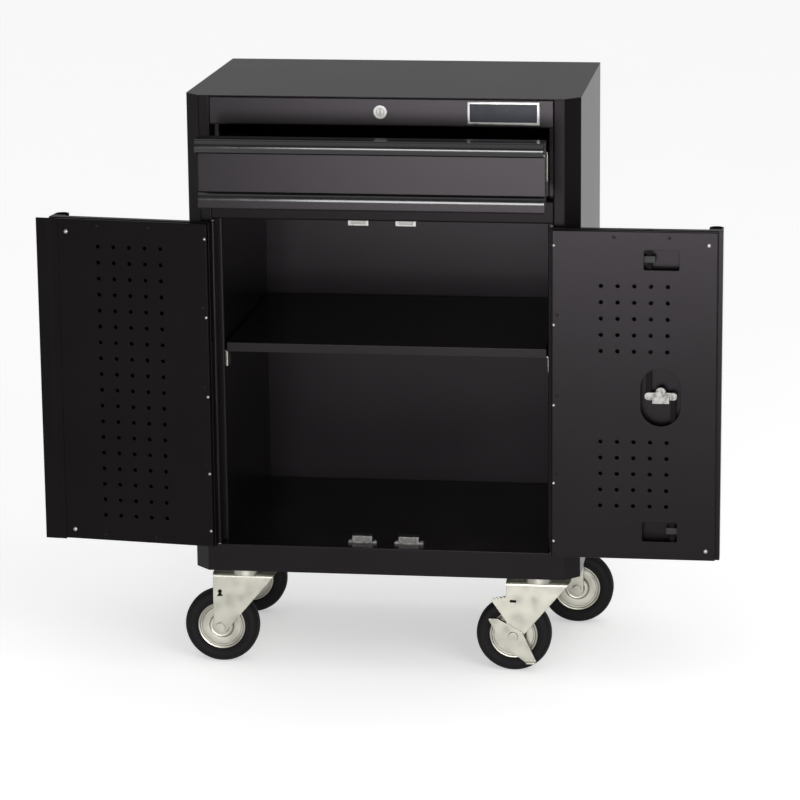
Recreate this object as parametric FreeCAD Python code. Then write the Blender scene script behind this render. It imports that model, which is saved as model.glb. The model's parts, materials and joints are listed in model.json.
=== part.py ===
import FreeCAD, Part
import math
import os

# Rolling tool cabinet in folded sheet steel: one drawer on telescopic slides, two hinged doors with
# perforated liners, a rod lock, magnetic catches, one shelf and four swivel casters.
# Millimetres, X to the right, Y to the back, Z up. The origin is on the floor under the carcass centre.

V = FreeCAD.Vector

# Carcass
carcass_width = 610.0
carcass_depth = 410.0
sheet = 1.2
bend = 1.5
corner_chamfer = 23.0
post_face = 18.0
post_return = 28.0
wall_inset = 10.0
back_flange = 20.0
top_flange = 16.0

# Heights, stacked from the floor
caster_height = 173.2
base_height = 43.5
door_opening = 522.0
middle_rail_height = 35.0
drawer_opening = 112.0
fascia_height = 45.5
base_lip = 12.0
rail_return = 45.0
fascia_return = 19.0

# Doors and their continuous hinges
door_gap = 2.5
centre_gap = 3.0
door_sheet = 1.0
skin_depth = 14.0
door_depth = 24.0
edge_strip = 7.0
pan_radius = 2.0
strip_lap = 9.5
strip_reach = 16.0
strip_joggle = 0.6
left_open_angle = 186.5
right_open_angle = 180.0
hinge_leaf = 1.0
hinge_leaf_width = 17.0
knuckle_radius = 3.0
knuckle_stand_off = 0.2
knuckle_count = 7
knuckle_gap = 0.4
hinge_pin_radius = 1.5

# Perforated liners
peg_pitch = 25.4
peg_radius = 3.2
peg_columns = 5
left_peg_rows = 18
group_rows = 5
peg_centre_from_hinge = 128.0
group_offset = 122.0

# Rod lock in the right door
lock_from_hinge = 169.0
window_width = 61.5
window_height = 91.0
rod_window_width = 54.0
rod_window_height = 31.0
rod_window_from_end = 45.0
window_corner = 3.0
lug_radius = 19.0
lug_end_radius = 6.0
rod_width = 8.0
rod_thickness = 2.5
rod_end_recess = 1.0
rod_depth = 11.0
guide_wall = 5.0
guide_cover = 2.5
guide_height = 10.0

# Cylinder locks
lock_head_radius = 10.5
lock_head = 2.0
lock_barrel_radius = 8.0
lock_plug_radius = 6.0
lock_cam_length = 30.0
lock_cam_width = 12.0
lock_cam = 2.5
key_slot_width = 1.4
key_slot_length = 8.0
lock_plate = 2.6
lock_plate_width = 26.0
lock_plate_height = 14.0
lock_plate_drop = 4.0
lock_knob = 5.0
lock_knob_radius = 8.0
lock_knob_rise = 7.0

# Drawer on telescopic slides
drawer_out = 110.0
front_gap = 2.0
front_depth = 18.0
front_flange = 16.0
front_lip = 9.0
front_lip_height = 15.0
front_lip_slope = 5.0
drawer_box_height = 80.0
drawer_box_depth = 360.0
drawer_box_lift = 8.0
drawer_sheet = 1.0
slide_height = 45.7
slide_thickness = 12.7
slide_length = 350.0
slide_sheet = 1.2
slide_clearance = 0.3
slide_from_front = 22.0
slide_middle_share = 0.5

# Pull section, shared by the drawer and both doors
pull_reach = 27.0
pull_height = 22.0
pull_wall = 2.4
pull_nose_radius = 11.0

# Shelf and clips
shelf_height_above_floor = 320.0
shelf_lip = 15.0
shelf_set_back = 30.0
shelf_side_gap = 3.0
clip_width = 22.0
clip_tab = 9.0
clip_rise = 26.0
clip_sheet = 1.5
clip_from_shelf_end = 12.0

# Magnetic catches
catch_x = (-40.0, 34.0)
catch_width = 32.0
catch_depth = 14.0
catch_height = 12.0
catch_ear = 7.0
catch_ear_height = 3.0
catch_back_wall = 4.5
magnet_width = 22.0
magnet_height = 6.0
magnet_proud = 0.4
catch_to_door = 0.6

# Casters
caster_x = 236.0
caster_from_end = 75.0
caster_trail = 40.0
rear_right_turn = 180.0
wheel_diameter = 120.0
tyre_width = 30.0
tyre_shoulder = 6.0
rim_diameter = 78.0
rim_width = 24.0
hub_radius = 12.0
axle_radius = 5.0
axle_head_radius = 7.5
axle_head = 4.5
plate_length = 100.0
plate_width = 85.0
plate_thickness = 3.0
plate_corner = 8.0
plate_hole_radius = 4.5
plate_hole_x = 76.0
plate_hole_y = 60.0
crown_drop = 22.0
race_radius = 25.0
race_wall = 2.5
upper_race_radius = 19.5
kingpin_radius = 6.0
kingpin_head_radius = 11.0
kingpin_head = 4.0
fork_leg = 3.0
fork_bend = 4.0
fork_end_radius = 11.0
fork_side_gap = 3.0
fork_hole_rise = 56.0
fork_hole_height = 8.0
fork_hole_head = 3.2
fork_hole_foot = 10.0

# Brake levers on the right-hand casters
lever_thickness = 2.5
lever_hub_radius = 15.0
lever_arm = 40.0
lever_arm_rise = 29.0
lever_pedal_x = 38.0
lever_pedal_drop = 42.0
lever_pedal_width = 18.0
lever_pedal_turn = 9.0
brake_lug_reach = 24.0
brake_lug_rise = 64.0
brake_lug_height = 44.0
brake_teeth = 5
brake_tooth = 3.0
brake_tooth_fall = 1.0

# Clearances
running = 0.05
seat_gap = 0.1
free_gap = 0.3

# Values that follow from the sizes above
half_width = carcass_width / 2
front = -carcass_depth / 2
back = carcass_depth / 2
half_opening = half_width - corner_chamfer - post_face
inner_wall = half_opening - wall_inset
base_bottom = caster_height - sheet
base_top = base_bottom + base_height
rail_bottom = base_top + door_opening
rail_top = rail_bottom + middle_rail_height
fascia_bottom = rail_top + drawer_opening
carcass_top = fascia_bottom + fascia_height
wall_top = carcass_top - sheet
back_inside = back - 2 * sheet

door_height = door_opening - 2 * door_gap
door_bottom = base_top + door_gap
door_top = door_bottom + door_height
door_middle = door_bottom + door_height / 2
hinge_x = half_opening - door_gap / 2
hinge_y = front - knuckle_radius - knuckle_stand_off
door_hinge_edge = half_opening - door_gap
door_free_edge = centre_gap / 2
liner_free_edge = door_free_edge + edge_strip
liner_hinge_edge = door_hinge_edge - door_sheet
knuckle_pitch = door_height / knuckle_count
pin_bore = hinge_pin_radius + running

lock_x = hinge_x - lock_from_hinge
rod_front = front + rod_depth
rod_back = rod_front + rod_thickness
cam_front = rod_back + 2 * free_gap
fascia_lock_z = fascia_bottom + fascia_height / 2

front_top = fascia_bottom - front_gap
front_bottom = rail_top + front_gap
front_half = half_opening - front_gap
box_half = inner_wall - slide_thickness
box_bottom = front_bottom + drawer_box_lift
box_front = front + front_depth
slide_z = box_bottom + drawer_box_height / 2

shelf_top = base_top + shelf_height_above_floor
shelf_front = front + shelf_set_back
shelf_half = inner_wall - shelf_side_gap

caster_y = carcass_depth / 2 - caster_from_end
wheel_radius = wheel_diameter / 2
rim_radius = rim_diameter / 2
crown_top = caster_height - crown_drop
crown_bottom = crown_top - fork_leg
crown_half = caster_trail + fork_end_radius
leg_inside = tyre_width / 2 + fork_side_gap
leg_outside = leg_inside + fork_leg
lever_inside = leg_outside + free_gap


def on_plan(z):
    """Places outline points in a level plane."""
    return lambda u, v: V(u, v, z)


def on_side(x):
    """Places outline points in a plane across X, as Y and Z."""
    return lambda u, v: V(x, u, v)


def on_front(y):
    """Places outline points in a plane across Y, as X and Z."""
    return lambda u, v: V(u, y, v)


def unit(a, b):
    """Direction from a to b in an outline."""
    length = math.hypot(b[0] - a[0], b[1] - a[1])
    return (b[0] - a[0]) / length, (b[1] - a[1]) / length


def round_corner(before, at, after, radius):
    """Start, middle and end of the arc that rounds one corner of an outline."""
    d1 = unit(at, before)
    d2 = unit(at, after)
    half = math.acos(max(-1.0, min(1.0, d1[0] * d2[0] + d1[1] * d2[1]))) / 2
    run = radius / math.tan(half)
    middle_x = d1[0] + d2[0]
    middle_y = d1[1] + d2[1]
    size = math.hypot(middle_x, middle_y)
    reach = radius / math.sin(half) - radius
    start = (at[0] + d1[0] * run, at[1] + d1[1] * run)
    end = (at[0] + d2[0] * run, at[1] + d2[1] * run)
    middle = (at[0] + middle_x / size * reach, at[1] + middle_y / size * reach)
    return start, middle, end


def run_edges(points, radii, place):
    """Edges along an open run of points, with each inner corner rounded by its own radius."""
    edges = []
    here = points[0]
    for i in range(1, len(points) - 1):
        if radii[i] > 0:
            start, middle, end = round_corner(points[i - 1], points[i], points[i + 1], radii[i])
        else:
            start, middle, end = points[i], None, points[i]
        edges.append(Part.LineSegment(place(*here), place(*start)).toShape())
        if middle:
            edges.append(Part.Arc(place(*start), place(*middle), place(*end)).toShape())
        here = end
    edges.append(Part.LineSegment(place(*here), place(*points[-1])).toShape())
    return edges


def offset_points(points, distance):
    """The same open run moved to its left by a distance, with mitred corners."""
    moved = []
    for i, point in enumerate(points):
        directions = []
        if i > 0:
            directions.append(unit(points[i - 1], point))
        if i < len(points) - 1:
            directions.append(unit(point, points[i + 1]))
        normals = [(-d[1], d[0]) for d in directions]
        nx = sum(n[0] for n in normals) / len(normals)
        ny = sum(n[1] for n in normals) / len(normals)
        scale = distance / (nx * nx + ny * ny)
        moved.append((point[0] + nx * scale, point[1] + ny * scale))
    return moved


def fold(points, thickness, radius, place, direction):
    """A bent sheet: the run of points is its outer line, and the wall lies to the left of it."""
    inner = offset_points(points, thickness)
    outer_radii = [0.0]
    inner_radii = [0.0]
    for i in range(1, len(points) - 1):
        a = unit(points[i - 1], points[i])
        b = unit(points[i], points[i + 1])
        turns_left = (a[0] * b[1] - a[1] * b[0]) * thickness > 0
        outer_radii.append(radius + abs(thickness) if turns_left else radius)
        inner_radii.append(radius if turns_left else radius + abs(thickness))
    edges = run_edges(points, outer_radii + [0.0], place)
    edges.append(Part.LineSegment(place(*points[-1]), place(*inner[-1])).toShape())
    edges += run_edges(inner[::-1], (inner_radii + [0.0])[::-1], place)
    edges.append(Part.LineSegment(place(*inner[0]), place(*points[0])).toShape())
    return Part.Face(Part.Wire(edges)).extrude(direction)


def outline(points, radius, place):
    """A closed face with all corners rounded alike, or sharp for a radius of 0."""
    if radius == 0:
        return Part.Face(Part.makePolygon([place(*p) for p in points + points[:1]]))
    middle = ((points[0][0] + points[-1][0]) / 2, (points[0][1] + points[-1][1]) / 2)
    loop = [middle] + points + [middle]
    return Part.Face(Part.Wire(run_edges(loop, [radius] * len(loop), place)))


def box(x0, x1, y0, y1, z0, z1):
    """A box between two corners."""
    return Part.makeBox(x1 - x0, y1 - y0, z1 - z0, V(x0, y0, z0))


def rod(radius, start, end):
    """A cylinder between two points."""
    axis = end - start
    return Part.makeCylinder(radius, axis.Length, start, axis)


def rounded_block(x0, x1, z0, z1, y0, y1, radius):
    """A block along Y with its four long edges rounded."""
    corners = [(x0, z0), (x1, z0), (x1, z1), (x0, z1)]
    return outline(corners, radius, on_front(y0)).extrude(V(0, y1 - y0, 0))


def turned(profile, centre, axis):
    """A solid of revolution from radius and height pairs along an axis."""
    side = V(1, 0, 0) if abs(axis.x) < 0.5 else V(0, 1, 0)
    points = [centre + side * r + axis * h for r, h in profile]
    return Part.Face(Part.makePolygon(points + points[:1])).revolve(centre, axis, 360)


def mirrored(shape):
    """The same piece for the left-hand side."""
    return shape.mirror(V(0, 0, 0), V(1, 0, 0))


def plan_outline(inset=0.0):
    """Plan of the carcass: square at the back, with the two front corners cut off."""
    side = half_width - inset
    near = front + inset
    cut = corner_chamfer - inset * (2 - math.sqrt(2))
    return [
        (-side, back - inset),
        (-side, near + cut),
        (-side + cut, near),
        (side - cut, near),
        (side, near + cut),
        (side, back - inset),
    ]


# Carcass

def side_panel():
    """Right side: back flange, side wall, cut corner, post face and the return into the opening."""
    run = [
        (half_width - back_flange, back),
        (half_width, back),
        (half_width, front + corner_chamfer),
        (half_width - corner_chamfer, front),
        (half_opening, front),
        (half_opening, front + post_return),
    ]
    return fold(run, -sheet, bend, on_plan(base_top), V(0, 0, wall_top - base_top))


def inner_side_wall():
    """Right inner wall, which carries the slides and the shelf clips, with a flange behind the post."""
    run = [
        (half_opening + sheet, front + post_return),
        (inner_wall, front + post_return),
        (inner_wall, back_inside),
    ]
    return fold(run, -sheet, bend, on_plan(base_top), V(0, 0, wall_top - base_top))


def back_panel():
    """Flat back, held inside the flanges of the sides."""
    reach = half_width - sheet - bend - seat_gap
    return box(-reach, reach, back_inside, back - sheet, base_top, wall_top)


def top_panel():
    """Flat steel top with the plan of the carcass and a flange inside each side."""
    shape = outline(plan_outline(), 0, on_plan(wall_top)).extrude(V(0, 0, sheet))
    outside = half_width - sheet - seat_gap
    near = front + corner_chamfer + post_return
    flange = box(outside - sheet, outside, near, back_inside, wall_top - top_flange, wall_top)
    return shape.fuse([flange, mirrored(flange)]).removeSplitter()


def floor_tray():
    """Cabinet floor with a deep skirt and a lip turned in at the bottom."""
    solid = outline(plan_outline(), 0, on_plan(base_bottom)).extrude(V(0, 0, base_height))
    top_edges = [e for e in solid.Edges if e.BoundBox.ZMin > base_top - seat_gap]
    solid = solid.makeFillet(bend, top_edges)
    hollow = outline(plan_outline(sheet), 0, on_plan(base_bottom + sheet))
    mouth = outline(plan_outline(base_lip), 0, on_plan(base_bottom))
    solid = solid.cut(hollow.extrude(V(0, 0, base_height - 2 * sheet)))
    solid = solid.cut(mouth.extrude(V(0, 0, sheet)))
    return solid.cut(rod_slot(-lug_radius, base_top - sheet, base_top))


def caster_channels():
    """Two channels across the inside of the base, which the casters bolt to."""
    low = base_bottom + sheet
    high = base_top - sheet
    reach = back - 2 * base_lip
    channels = []
    for x in (-caster_x, caster_x):
        run = [
            (x - plate_length / 2, high),
            (x - plate_length / 2, low),
            (x + plate_length / 2, low),
            (x + plate_length / 2, high),
        ]
        channels.append(fold(run, sheet, bend, on_front(-reach), V(0, 2 * reach, 0)))
    return Part.makeCompound(channels)


def top_fascia():
    """Fixed strip above the drawer, folded back at both edges, with the lock hole."""
    run = [
        (front + fascia_return, fascia_bottom),
        (front, fascia_bottom),
        (front, wall_top),
        (front + fascia_return, wall_top),
    ]
    shape = fold(run, -sheet, bend, on_side(-half_opening), V(2 * half_opening, 0, 0))
    hole = rod(lock_barrel_radius + seat_gap, V(0, front, fascia_lock_z), V(0, 0, fascia_lock_z))
    return shape.cut(hole)


def middle_rail():
    """Rail between the drawer and the doors, open to the back, with a slot for the upper lock rod."""
    run = [
        (front + rail_return, rail_bottom),
        (front, rail_bottom),
        (front, rail_top),
        (front + rail_return, rail_top),
    ]
    shape = fold(run, -sheet, bend, on_side(-half_opening), V(2 * half_opening, 0, 0))
    near = front + post_return - seat_gap
    notch = box(inner_wall - seat_gap, half_opening, near, front + rail_return, rail_bottom, rail_top)
    slot = rod_slot(lug_radius, rail_bottom, rail_bottom + sheet)
    return shape.cut(Part.makeCompound([notch, mirrored(notch), slot]))


def shelf():
    """Loose shelf, a tray turned upside down, resting on four clips."""
    far = back_inside - shelf_side_gap
    outer = box(-shelf_half, shelf_half, shelf_front, far, shelf_top - shelf_lip, shelf_top)
    top_edges = [e for e in outer.Edges if e.BoundBox.ZMin > shelf_top - seat_gap]
    outer = outer.makeFillet(bend, top_edges)
    inner = box(
        -shelf_half + sheet,
        shelf_half - sheet,
        shelf_front + sheet,
        far - sheet,
        shelf_top - shelf_lip,
        shelf_top - sheet,
    )
    return outer.cut(inner)


def shelf_clips():
    """Four bent clips on the inner walls, under the corners of the shelf."""
    seat = shelf_top - shelf_lip
    run = [
        (inner_wall, seat - clip_rise),
        (inner_wall, seat),
        (inner_wall - clip_tab, seat),
    ]
    far = back_inside - shelf_side_gap
    clips = []
    for y in (shelf_front + clip_from_shelf_end, far - clip_from_shelf_end - clip_width):
        clip = fold(run, clip_sheet, bend, on_front(y), V(0, clip_width, 0))
        clips += [clip, mirrored(clip)]
    return Part.makeCompound(clips)


# Drawer, modelled closed and then drawn out

def drawer_front():
    """Drawer face with a foot that steps forward along its lower edge, closed at both ends."""
    step = front_bottom + front_lip_height
    run = [
        (front + front_depth, front_top - front_flange),
        (front + front_depth, front_top),
        (front, front_top),
        (front, step + front_lip_slope),
        (front - front_lip, step),
        (front - front_lip, front_bottom),
        (front + front_depth, front_bottom),
        (front + front_depth, front_bottom + front_flange),
    ]
    shape = fold(run, sheet, bend, on_side(-front_half), V(2 * front_half, 0, 0))
    inside = offset_points(run, sheet)[1:-1]
    cap = outline(inside, 0, on_side(front_half - sheet)).extrude(V(sheet, 0, 0))
    return shape.fuse([cap, mirrored(cap)]).removeSplitter()


def drawer_box():
    """Open drawer box in thin sheet."""
    far = box_front + drawer_box_depth
    top = box_bottom + drawer_box_height
    wall = drawer_sheet
    outer = box(-box_half, box_half, box_front, far, box_bottom, top)
    inner = box(
        -box_half + wall, box_half - wall, box_front + wall, far - wall, box_bottom + wall, top
    )
    return outer.cut(inner)


def slide_member(web, reach, height, near):
    """One channel section of a slide on the right-hand side, from its web towards its open side."""
    toward = 1 if reach > web else -1
    run = [
        (reach, slide_z + height / 2),
        (web, slide_z + height / 2),
        (web, slide_z - height / 2),
        (reach, slide_z - height / 2),
    ]
    return fold(run, toward * slide_sheet, slide_clearance, on_front(near), V(0, slide_length, 0))


def slide_pair(web, reach, height, near):
    """The same member on both sides."""
    member = slide_member(web, reach, height, near)
    return Part.makeCompound([member, mirrored(member)])


def slide_parts():
    """Outer, middle and inner members, nested with a sliding clearance."""
    step = slide_sheet + slide_clearance
    near = front + slide_from_front
    middle_web = inner_wall - step
    middle_height = slide_height - 2 * step
    inner_height = middle_height - 2 * step
    outer_reach = box_half + step
    rails = slide_pair(inner_wall, outer_reach, slide_height, near)
    middles = slide_pair(middle_web, outer_reach, middle_height, near)
    runners = slide_pair(box_half, middle_web - step, inner_height, near)
    return rails, middles, runners


def pull_section():
    """Run of the pull's outer line: along the mounting face, round the nose and back down."""
    return [
        (0.0, -pull_height),
        (0.0, 0.0),
        (-pull_reach, 0.0),
        (-pull_reach, -pull_height),
    ]


def pull(place, direction):
    """Full-length grip: a mounting strip, a level shelf and a rounded nose with room for the fingers."""
    run = pull_section()
    inner = offset_points(run, pull_wall)
    sharp = [0.0, 0.0, pull_nose_radius, 0.0]
    soft = [0.0, pull_wall, pull_nose_radius - pull_wall, 0.0]
    edges = run_edges(run, sharp, place)
    edges.append(Part.LineSegment(place(*run[-1]), place(*inner[-1])).toShape())
    edges += run_edges(inner[::-1], soft[::-1], place)
    edges.append(Part.LineSegment(place(*inner[0]), place(*run[0])).toShape())
    return Part.Face(Part.Wire(edges)).extrude(direction)


def drawer_pull():
    """Pull along the top of the drawer face."""
    def place(out, up):
        return V(-front_half, front + out, front_top + up)
    return pull(place, V(2 * front_half, 0, 0))


# Doors, modelled closed on the right-hand side and then swung open

def pan(x0, x1, y0, y1, z0, z1, wall):
    """A shallow tray open to the back, with rounded edges round its face."""
    outer = box(x0, x1, y0, y1, z0, z1)
    face_edges = [e for e in outer.Edges if e.BoundBox.YMax < y0 + seat_gap]
    outer = outer.makeFillet(pan_radius, face_edges)
    return outer.cut(box(x0 + wall, x1 - wall, y0 + wall, y1, z0 + wall, z1 - wall))


def door_skin():
    """Outer skin: a tray with a strip turned in along the free edge."""
    far = front + skin_depth
    skin = pan(
        door_free_edge, door_hinge_edge, front, far, door_bottom, door_top, door_sheet
    )
    strip = box(
        door_free_edge,
        liner_free_edge,
        far - door_sheet,
        far,
        door_bottom + door_sheet,
        door_top - door_sheet,
    )
    return skin.fuse(strip).removeSplitter()


def door_liner():
    """Inner tray of a door, open towards the skin, before its perforations."""
    low = front + door_sheet
    far = front + door_depth
    z0 = door_bottom + door_sheet
    z1 = door_top - door_sheet
    outer = box(liner_free_edge, liner_hinge_edge, low, far, z0, z1)
    face_edges = [e for e in outer.Edges if e.BoundBox.YMin > far - seat_gap]
    outer = outer.makeFillet(bend, face_edges)
    wall = door_sheet
    hollow = box(
        liner_free_edge + wall, liner_hinge_edge - wall, low, far - wall, z0 + wall, z1 - wall
    )
    return outer.cut(hollow)


def peg_holes(rows, middle_z):
    """A grid of round holes through the liner, centred at a height."""
    far = front + door_depth
    holes = []
    for column in range(peg_columns):
        x = hinge_x - peg_centre_from_hinge + (column - (peg_columns - 1) / 2) * peg_pitch
        for row in range(rows):
            z = middle_z + (row - (rows - 1) / 2) * peg_pitch
            holes.append(rod(peg_radius, V(x, far - 2 * door_sheet, z), V(x, far + door_sheet, z)))
    return holes


def lock_windows():
    """Round-ended window over the lock and two small windows over the rod guides."""
    low = front + door_depth - 2 * door_sheet
    far = front + door_depth + door_sheet
    half = window_width / 2
    windows = [
        rounded_block(
            lock_x - half,
            lock_x + half,
            door_middle - window_height / 2,
            door_middle + window_height / 2,
            low,
            far,
            half - seat_gap,
        )
    ]
    for z in (door_bottom + rod_window_from_end, door_top - rod_window_from_end):
        windows.append(
            rounded_block(
                lock_x - rod_window_width / 2,
                lock_x + rod_window_width / 2,
                z - rod_window_height / 2,
                z + rod_window_height / 2,
                low,
                far,
                window_corner,
            )
        )
    return windows


def rod_slot(side, z0, z1):
    """Cutter for a lock rod passing through a flange."""
    x = lock_x + side
    half = rod_width / 2 + free_gap
    return box(x - half, x + half, rod_front - free_gap, rod_back + free_gap, z0, z1)


def rod_slots():
    """Cutters for both rods at the ends of the right door."""
    depth = 2 * door_sheet
    return [
        rod_slot(lug_radius, door_top - depth, door_top),
        rod_slot(-lug_radius, door_bottom, door_bottom + depth),
    ]


def meeting_strip():
    """Strip along the free edge of the closed left door, stepped to lie behind the right door."""
    seat = front + door_depth
    run = [
        (-liner_free_edge - strip_lap, seat),
        (-liner_free_edge, seat),
        (-door_free_edge, seat + strip_joggle),
        (strip_reach, seat + strip_joggle),
    ]
    return fold(run, sheet, seat_gap, on_plan(door_bottom), V(0, 0, door_height))


def left_liner():
    """Left liner with one tall grid of holes."""
    return mirrored(door_liner().cut(Part.makeCompound(peg_holes(left_peg_rows, door_middle))))


def right_liner():
    """Right liner with two square grids, the lock window and the rod windows."""
    cutters = peg_holes(group_rows, door_middle + group_offset)
    cutters += peg_holes(group_rows, door_middle - group_offset)
    cutters += lock_windows() + rod_slots()
    return door_liner().cut(Part.makeCompound(cutters))


def right_skin():
    """Right skin with the lock hole and the rod slots."""
    barrel = rod(
        lock_barrel_radius + seat_gap,
        V(lock_x, front, door_middle),
        V(lock_x, front + door_sheet, door_middle),
    )
    return door_skin().cut(Part.makeCompound([barrel] + rod_slots()))


def door_pull():
    """Full-height pull at the free edge of the right door, open towards the hinge."""
    def place(out, up):
        return V(door_free_edge - up, front + out, door_bottom)
    return pull(place, V(0, 0, door_height))


def hinge_leaf_part(x0, x1, first):
    """One leaf of the right hinge with every second knuckle, starting at the given one."""
    near = front + free_gap
    leaf = box(x0, x1, near, near + hinge_leaf_width, door_bottom, door_top)
    pieces = []
    for i in range(first, knuckle_count, 2):
        low = door_bottom + i * knuckle_pitch + knuckle_gap / 2
        high = low + knuckle_pitch - knuckle_gap
        pieces.append(rod(knuckle_radius, V(hinge_x, hinge_y, low), V(hinge_x, hinge_y, high)))
        pieces.append(box(x0, x1, hinge_y, near, low, high))
    bore = rod(pin_bore, V(hinge_x, hinge_y, door_bottom), V(hinge_x, hinge_y, door_top))
    return leaf.fuse(pieces).cut(bore).removeSplitter()


def frame_leaf():
    """Leaf on the post, with the end knuckles."""
    return hinge_leaf_part(half_opening - hinge_leaf, half_opening, 0)


def door_leaf():
    """Leaf on the edge of the door."""
    return hinge_leaf_part(door_hinge_edge, door_hinge_edge + hinge_leaf, 1)


def hinge_pin():
    """Pin through the knuckles, with a small head at each end."""
    shaft = rod(hinge_pin_radius, V(hinge_x, hinge_y, door_bottom), V(hinge_x, hinge_y, door_top))
    heads = []
    for z in (door_bottom - hinge_leaf, door_top):
        low = V(hinge_x, hinge_y, z)
        heads.append(rod(knuckle_radius - free_gap, low, low + V(0, 0, hinge_leaf)))
    return shaft.fuse(heads).removeSplitter()


# Locks

def lock_barrel(x, z, depth):
    """Cylinder lock body with a round head on the face of the sheet."""
    profile = [
        (lock_plug_radius + running, -lock_head),
        (lock_head_radius, -lock_head),
        (lock_head_radius, 0.0),
        (lock_barrel_radius, 0.0),
        (lock_barrel_radius, depth),
        (lock_plug_radius + running, depth),
    ]
    return turned(profile, V(x, front, z), V(0, 1, 0))


def lock_plug(x, z, depth):
    """Turning plug with a key slot in its face."""
    start = V(x, front - lock_head, z)
    plug = rod(lock_plug_radius, start, V(x, front + depth, z))
    slot = box(
        x - key_slot_width / 2,
        x + key_slot_width / 2,
        front - lock_head,
        front,
        z - key_slot_length / 2,
        z + key_slot_length / 2,
    )
    return plug.cut(slot)


def drawer_lock_cam():
    """Tongue on the back of the drawer lock, level when the drawer is free."""
    low = front + fascia_return + 2 * free_gap
    run = [
        (-lock_cam_width / 2, -lock_cam_width / 2),
        (lock_cam_length, -lock_cam_width / 2),
        (lock_cam_length, lock_cam_width / 2),
        (-lock_cam_width / 2, lock_cam_width / 2),
    ]
    tongue = outline(run, window_corner, on_front(low)).extrude(V(0, lock_cam, 0))
    return tongue.translated(V(0, 0, fascia_lock_z))


def door_lock_cam():
    """Cross arm on the door lock: a round boss, two lugs, a clamp plate and a knob."""
    low = cam_front
    arm = rounded_block(
        -lug_radius - lug_end_radius,
        lug_radius + lug_end_radius,
        -lug_end_radius,
        lug_end_radius,
        low,
        low + lock_cam,
        lug_end_radius - seat_gap,
    )
    boss = rod(lock_barrel_radius, V(0, low, 0), V(0, low + lock_cam, 0))
    foot = low + lock_cam
    plate = box(
        -lock_plate_width / 2,
        lock_plate_width / 2,
        foot,
        foot + lock_plate,
        -lock_plate_drop - lock_plate_height / 2,
        -lock_plate_drop + lock_plate_height / 2,
    )
    knob = rod(lock_knob_radius, V(0, foot, lock_knob_rise), V(0, foot + lock_knob, lock_knob_rise))
    return arm.fuse([boss, plate, knob]).removeSplitter().translated(V(lock_x, 0, door_middle))


def lock_rod(up):
    """Flat rod from a lug of the cross arm to the end of the door."""
    x = lock_x + lug_radius * up
    eye = rod_width / 2
    end = door_top - rod_end_recess if up > 0 else door_bottom + rod_end_recess
    z0, z1 = sorted((door_middle - eye * up, end))
    return rounded_block(x - eye, x + eye, z0, z1, rod_front, rod_back, eye - seat_gap)


def rod_guides():
    """Two slotted blocks on the inside of the skin that keep the rods in line."""
    guides = []
    for side, z in ((1, door_top - rod_window_from_end), (-1, door_bottom + rod_window_from_end)):
        x = lock_x + side * lug_radius
        half = rod_width / 2 + free_gap
        block = box(
            x - half - guide_wall,
            x + half + guide_wall,
            front + door_sheet,
            rod_back + free_gap + guide_cover,
            z - guide_height / 2,
            z + guide_height / 2,
        )
        guides.append(block.cut(rod_slot(side * lug_radius, z - guide_height, z + guide_height)))
    return Part.makeCompound(guides)


# Magnetic catches

def catch_housing(x, z, up):
    """Catch body with two ears on the rail or the floor; up is 1 on the floor and -1 under the rail."""
    near = front + door_depth + catch_to_door + magnet_proud
    far = near + catch_depth
    z0, z1 = sorted((z, z + up * catch_height))
    body = box(x - catch_width / 2, x + catch_width / 2, near, far, z0, z1)
    e0, e1 = sorted((z, z + up * catch_ear_height))
    reach = catch_width / 2 + catch_ear
    ears = box(x - reach, x + reach, near + bend, far - bend, e0, e1)
    middle = z + up * catch_height / 2
    pocket = box(
        x - magnet_width / 2,
        x + magnet_width / 2,
        near,
        far - catch_back_wall,
        middle - magnet_height / 2,
        middle + magnet_height / 2,
    )
    return body.fuse(ears).cut(pocket).removeSplitter()


def catch_magnet(x, z, up):
    """Magnet with two pole plates, standing just proud of its housing."""
    near = front + door_depth + catch_to_door
    far = near + magnet_proud + catch_depth - catch_back_wall
    middle = z + up * catch_height / 2
    half = magnet_height / 2
    return box(x - magnet_width / 2, x + magnet_width / 2, near, far, middle - half, middle + half)


def catches(make):
    """The same piece of all four catches."""
    pieces = []
    for x in catch_x:
        pieces.append(make(x, base_top, 1))
        pieces.append(make(x, rail_bottom, -1))
    return Part.makeCompound(pieces)


# Casters, modelled about a swivel axis at the origin, with the wheel trailing to the left.
# The rear pair is turned round before it goes under its plates.

def caster_plate():
    """Bolt plate with the upper bearing race and the kingpin that holds the fork."""
    x = plate_length / 2
    y = plate_width / 2
    low = caster_height - plate_thickness
    plate = outline([(-x, -y), (x, -y), (x, y), (-x, y)], plate_corner, on_plan(low))
    plate = plate.extrude(V(0, 0, plate_thickness))
    holes = []
    for sx in (-1, 1):
        for sy in (-1, 1):
            start = V(sx * plate_hole_x / 2, sy * plate_hole_y / 2, low)
            holes.append(rod(plate_hole_radius, start, start + V(0, 0, plate_thickness)))
    head_top = crown_bottom - free_gap
    race_foot = crown_top + race_wall + free_gap
    profile = [
        (0.0, head_top - kingpin_head),
        (kingpin_head_radius, head_top - kingpin_head),
        (kingpin_head_radius, head_top),
        (kingpin_radius, head_top),
        (kingpin_radius, race_foot),
        (upper_race_radius - race_wall, race_foot),
        (upper_race_radius, low),
        (0.0, low),
    ]
    pin = turned(profile, V(0, 0, 0), V(0, 0, 1))
    return plate.fuse(pin).cut(Part.makeCompound(holes)).removeSplitter()


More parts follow.
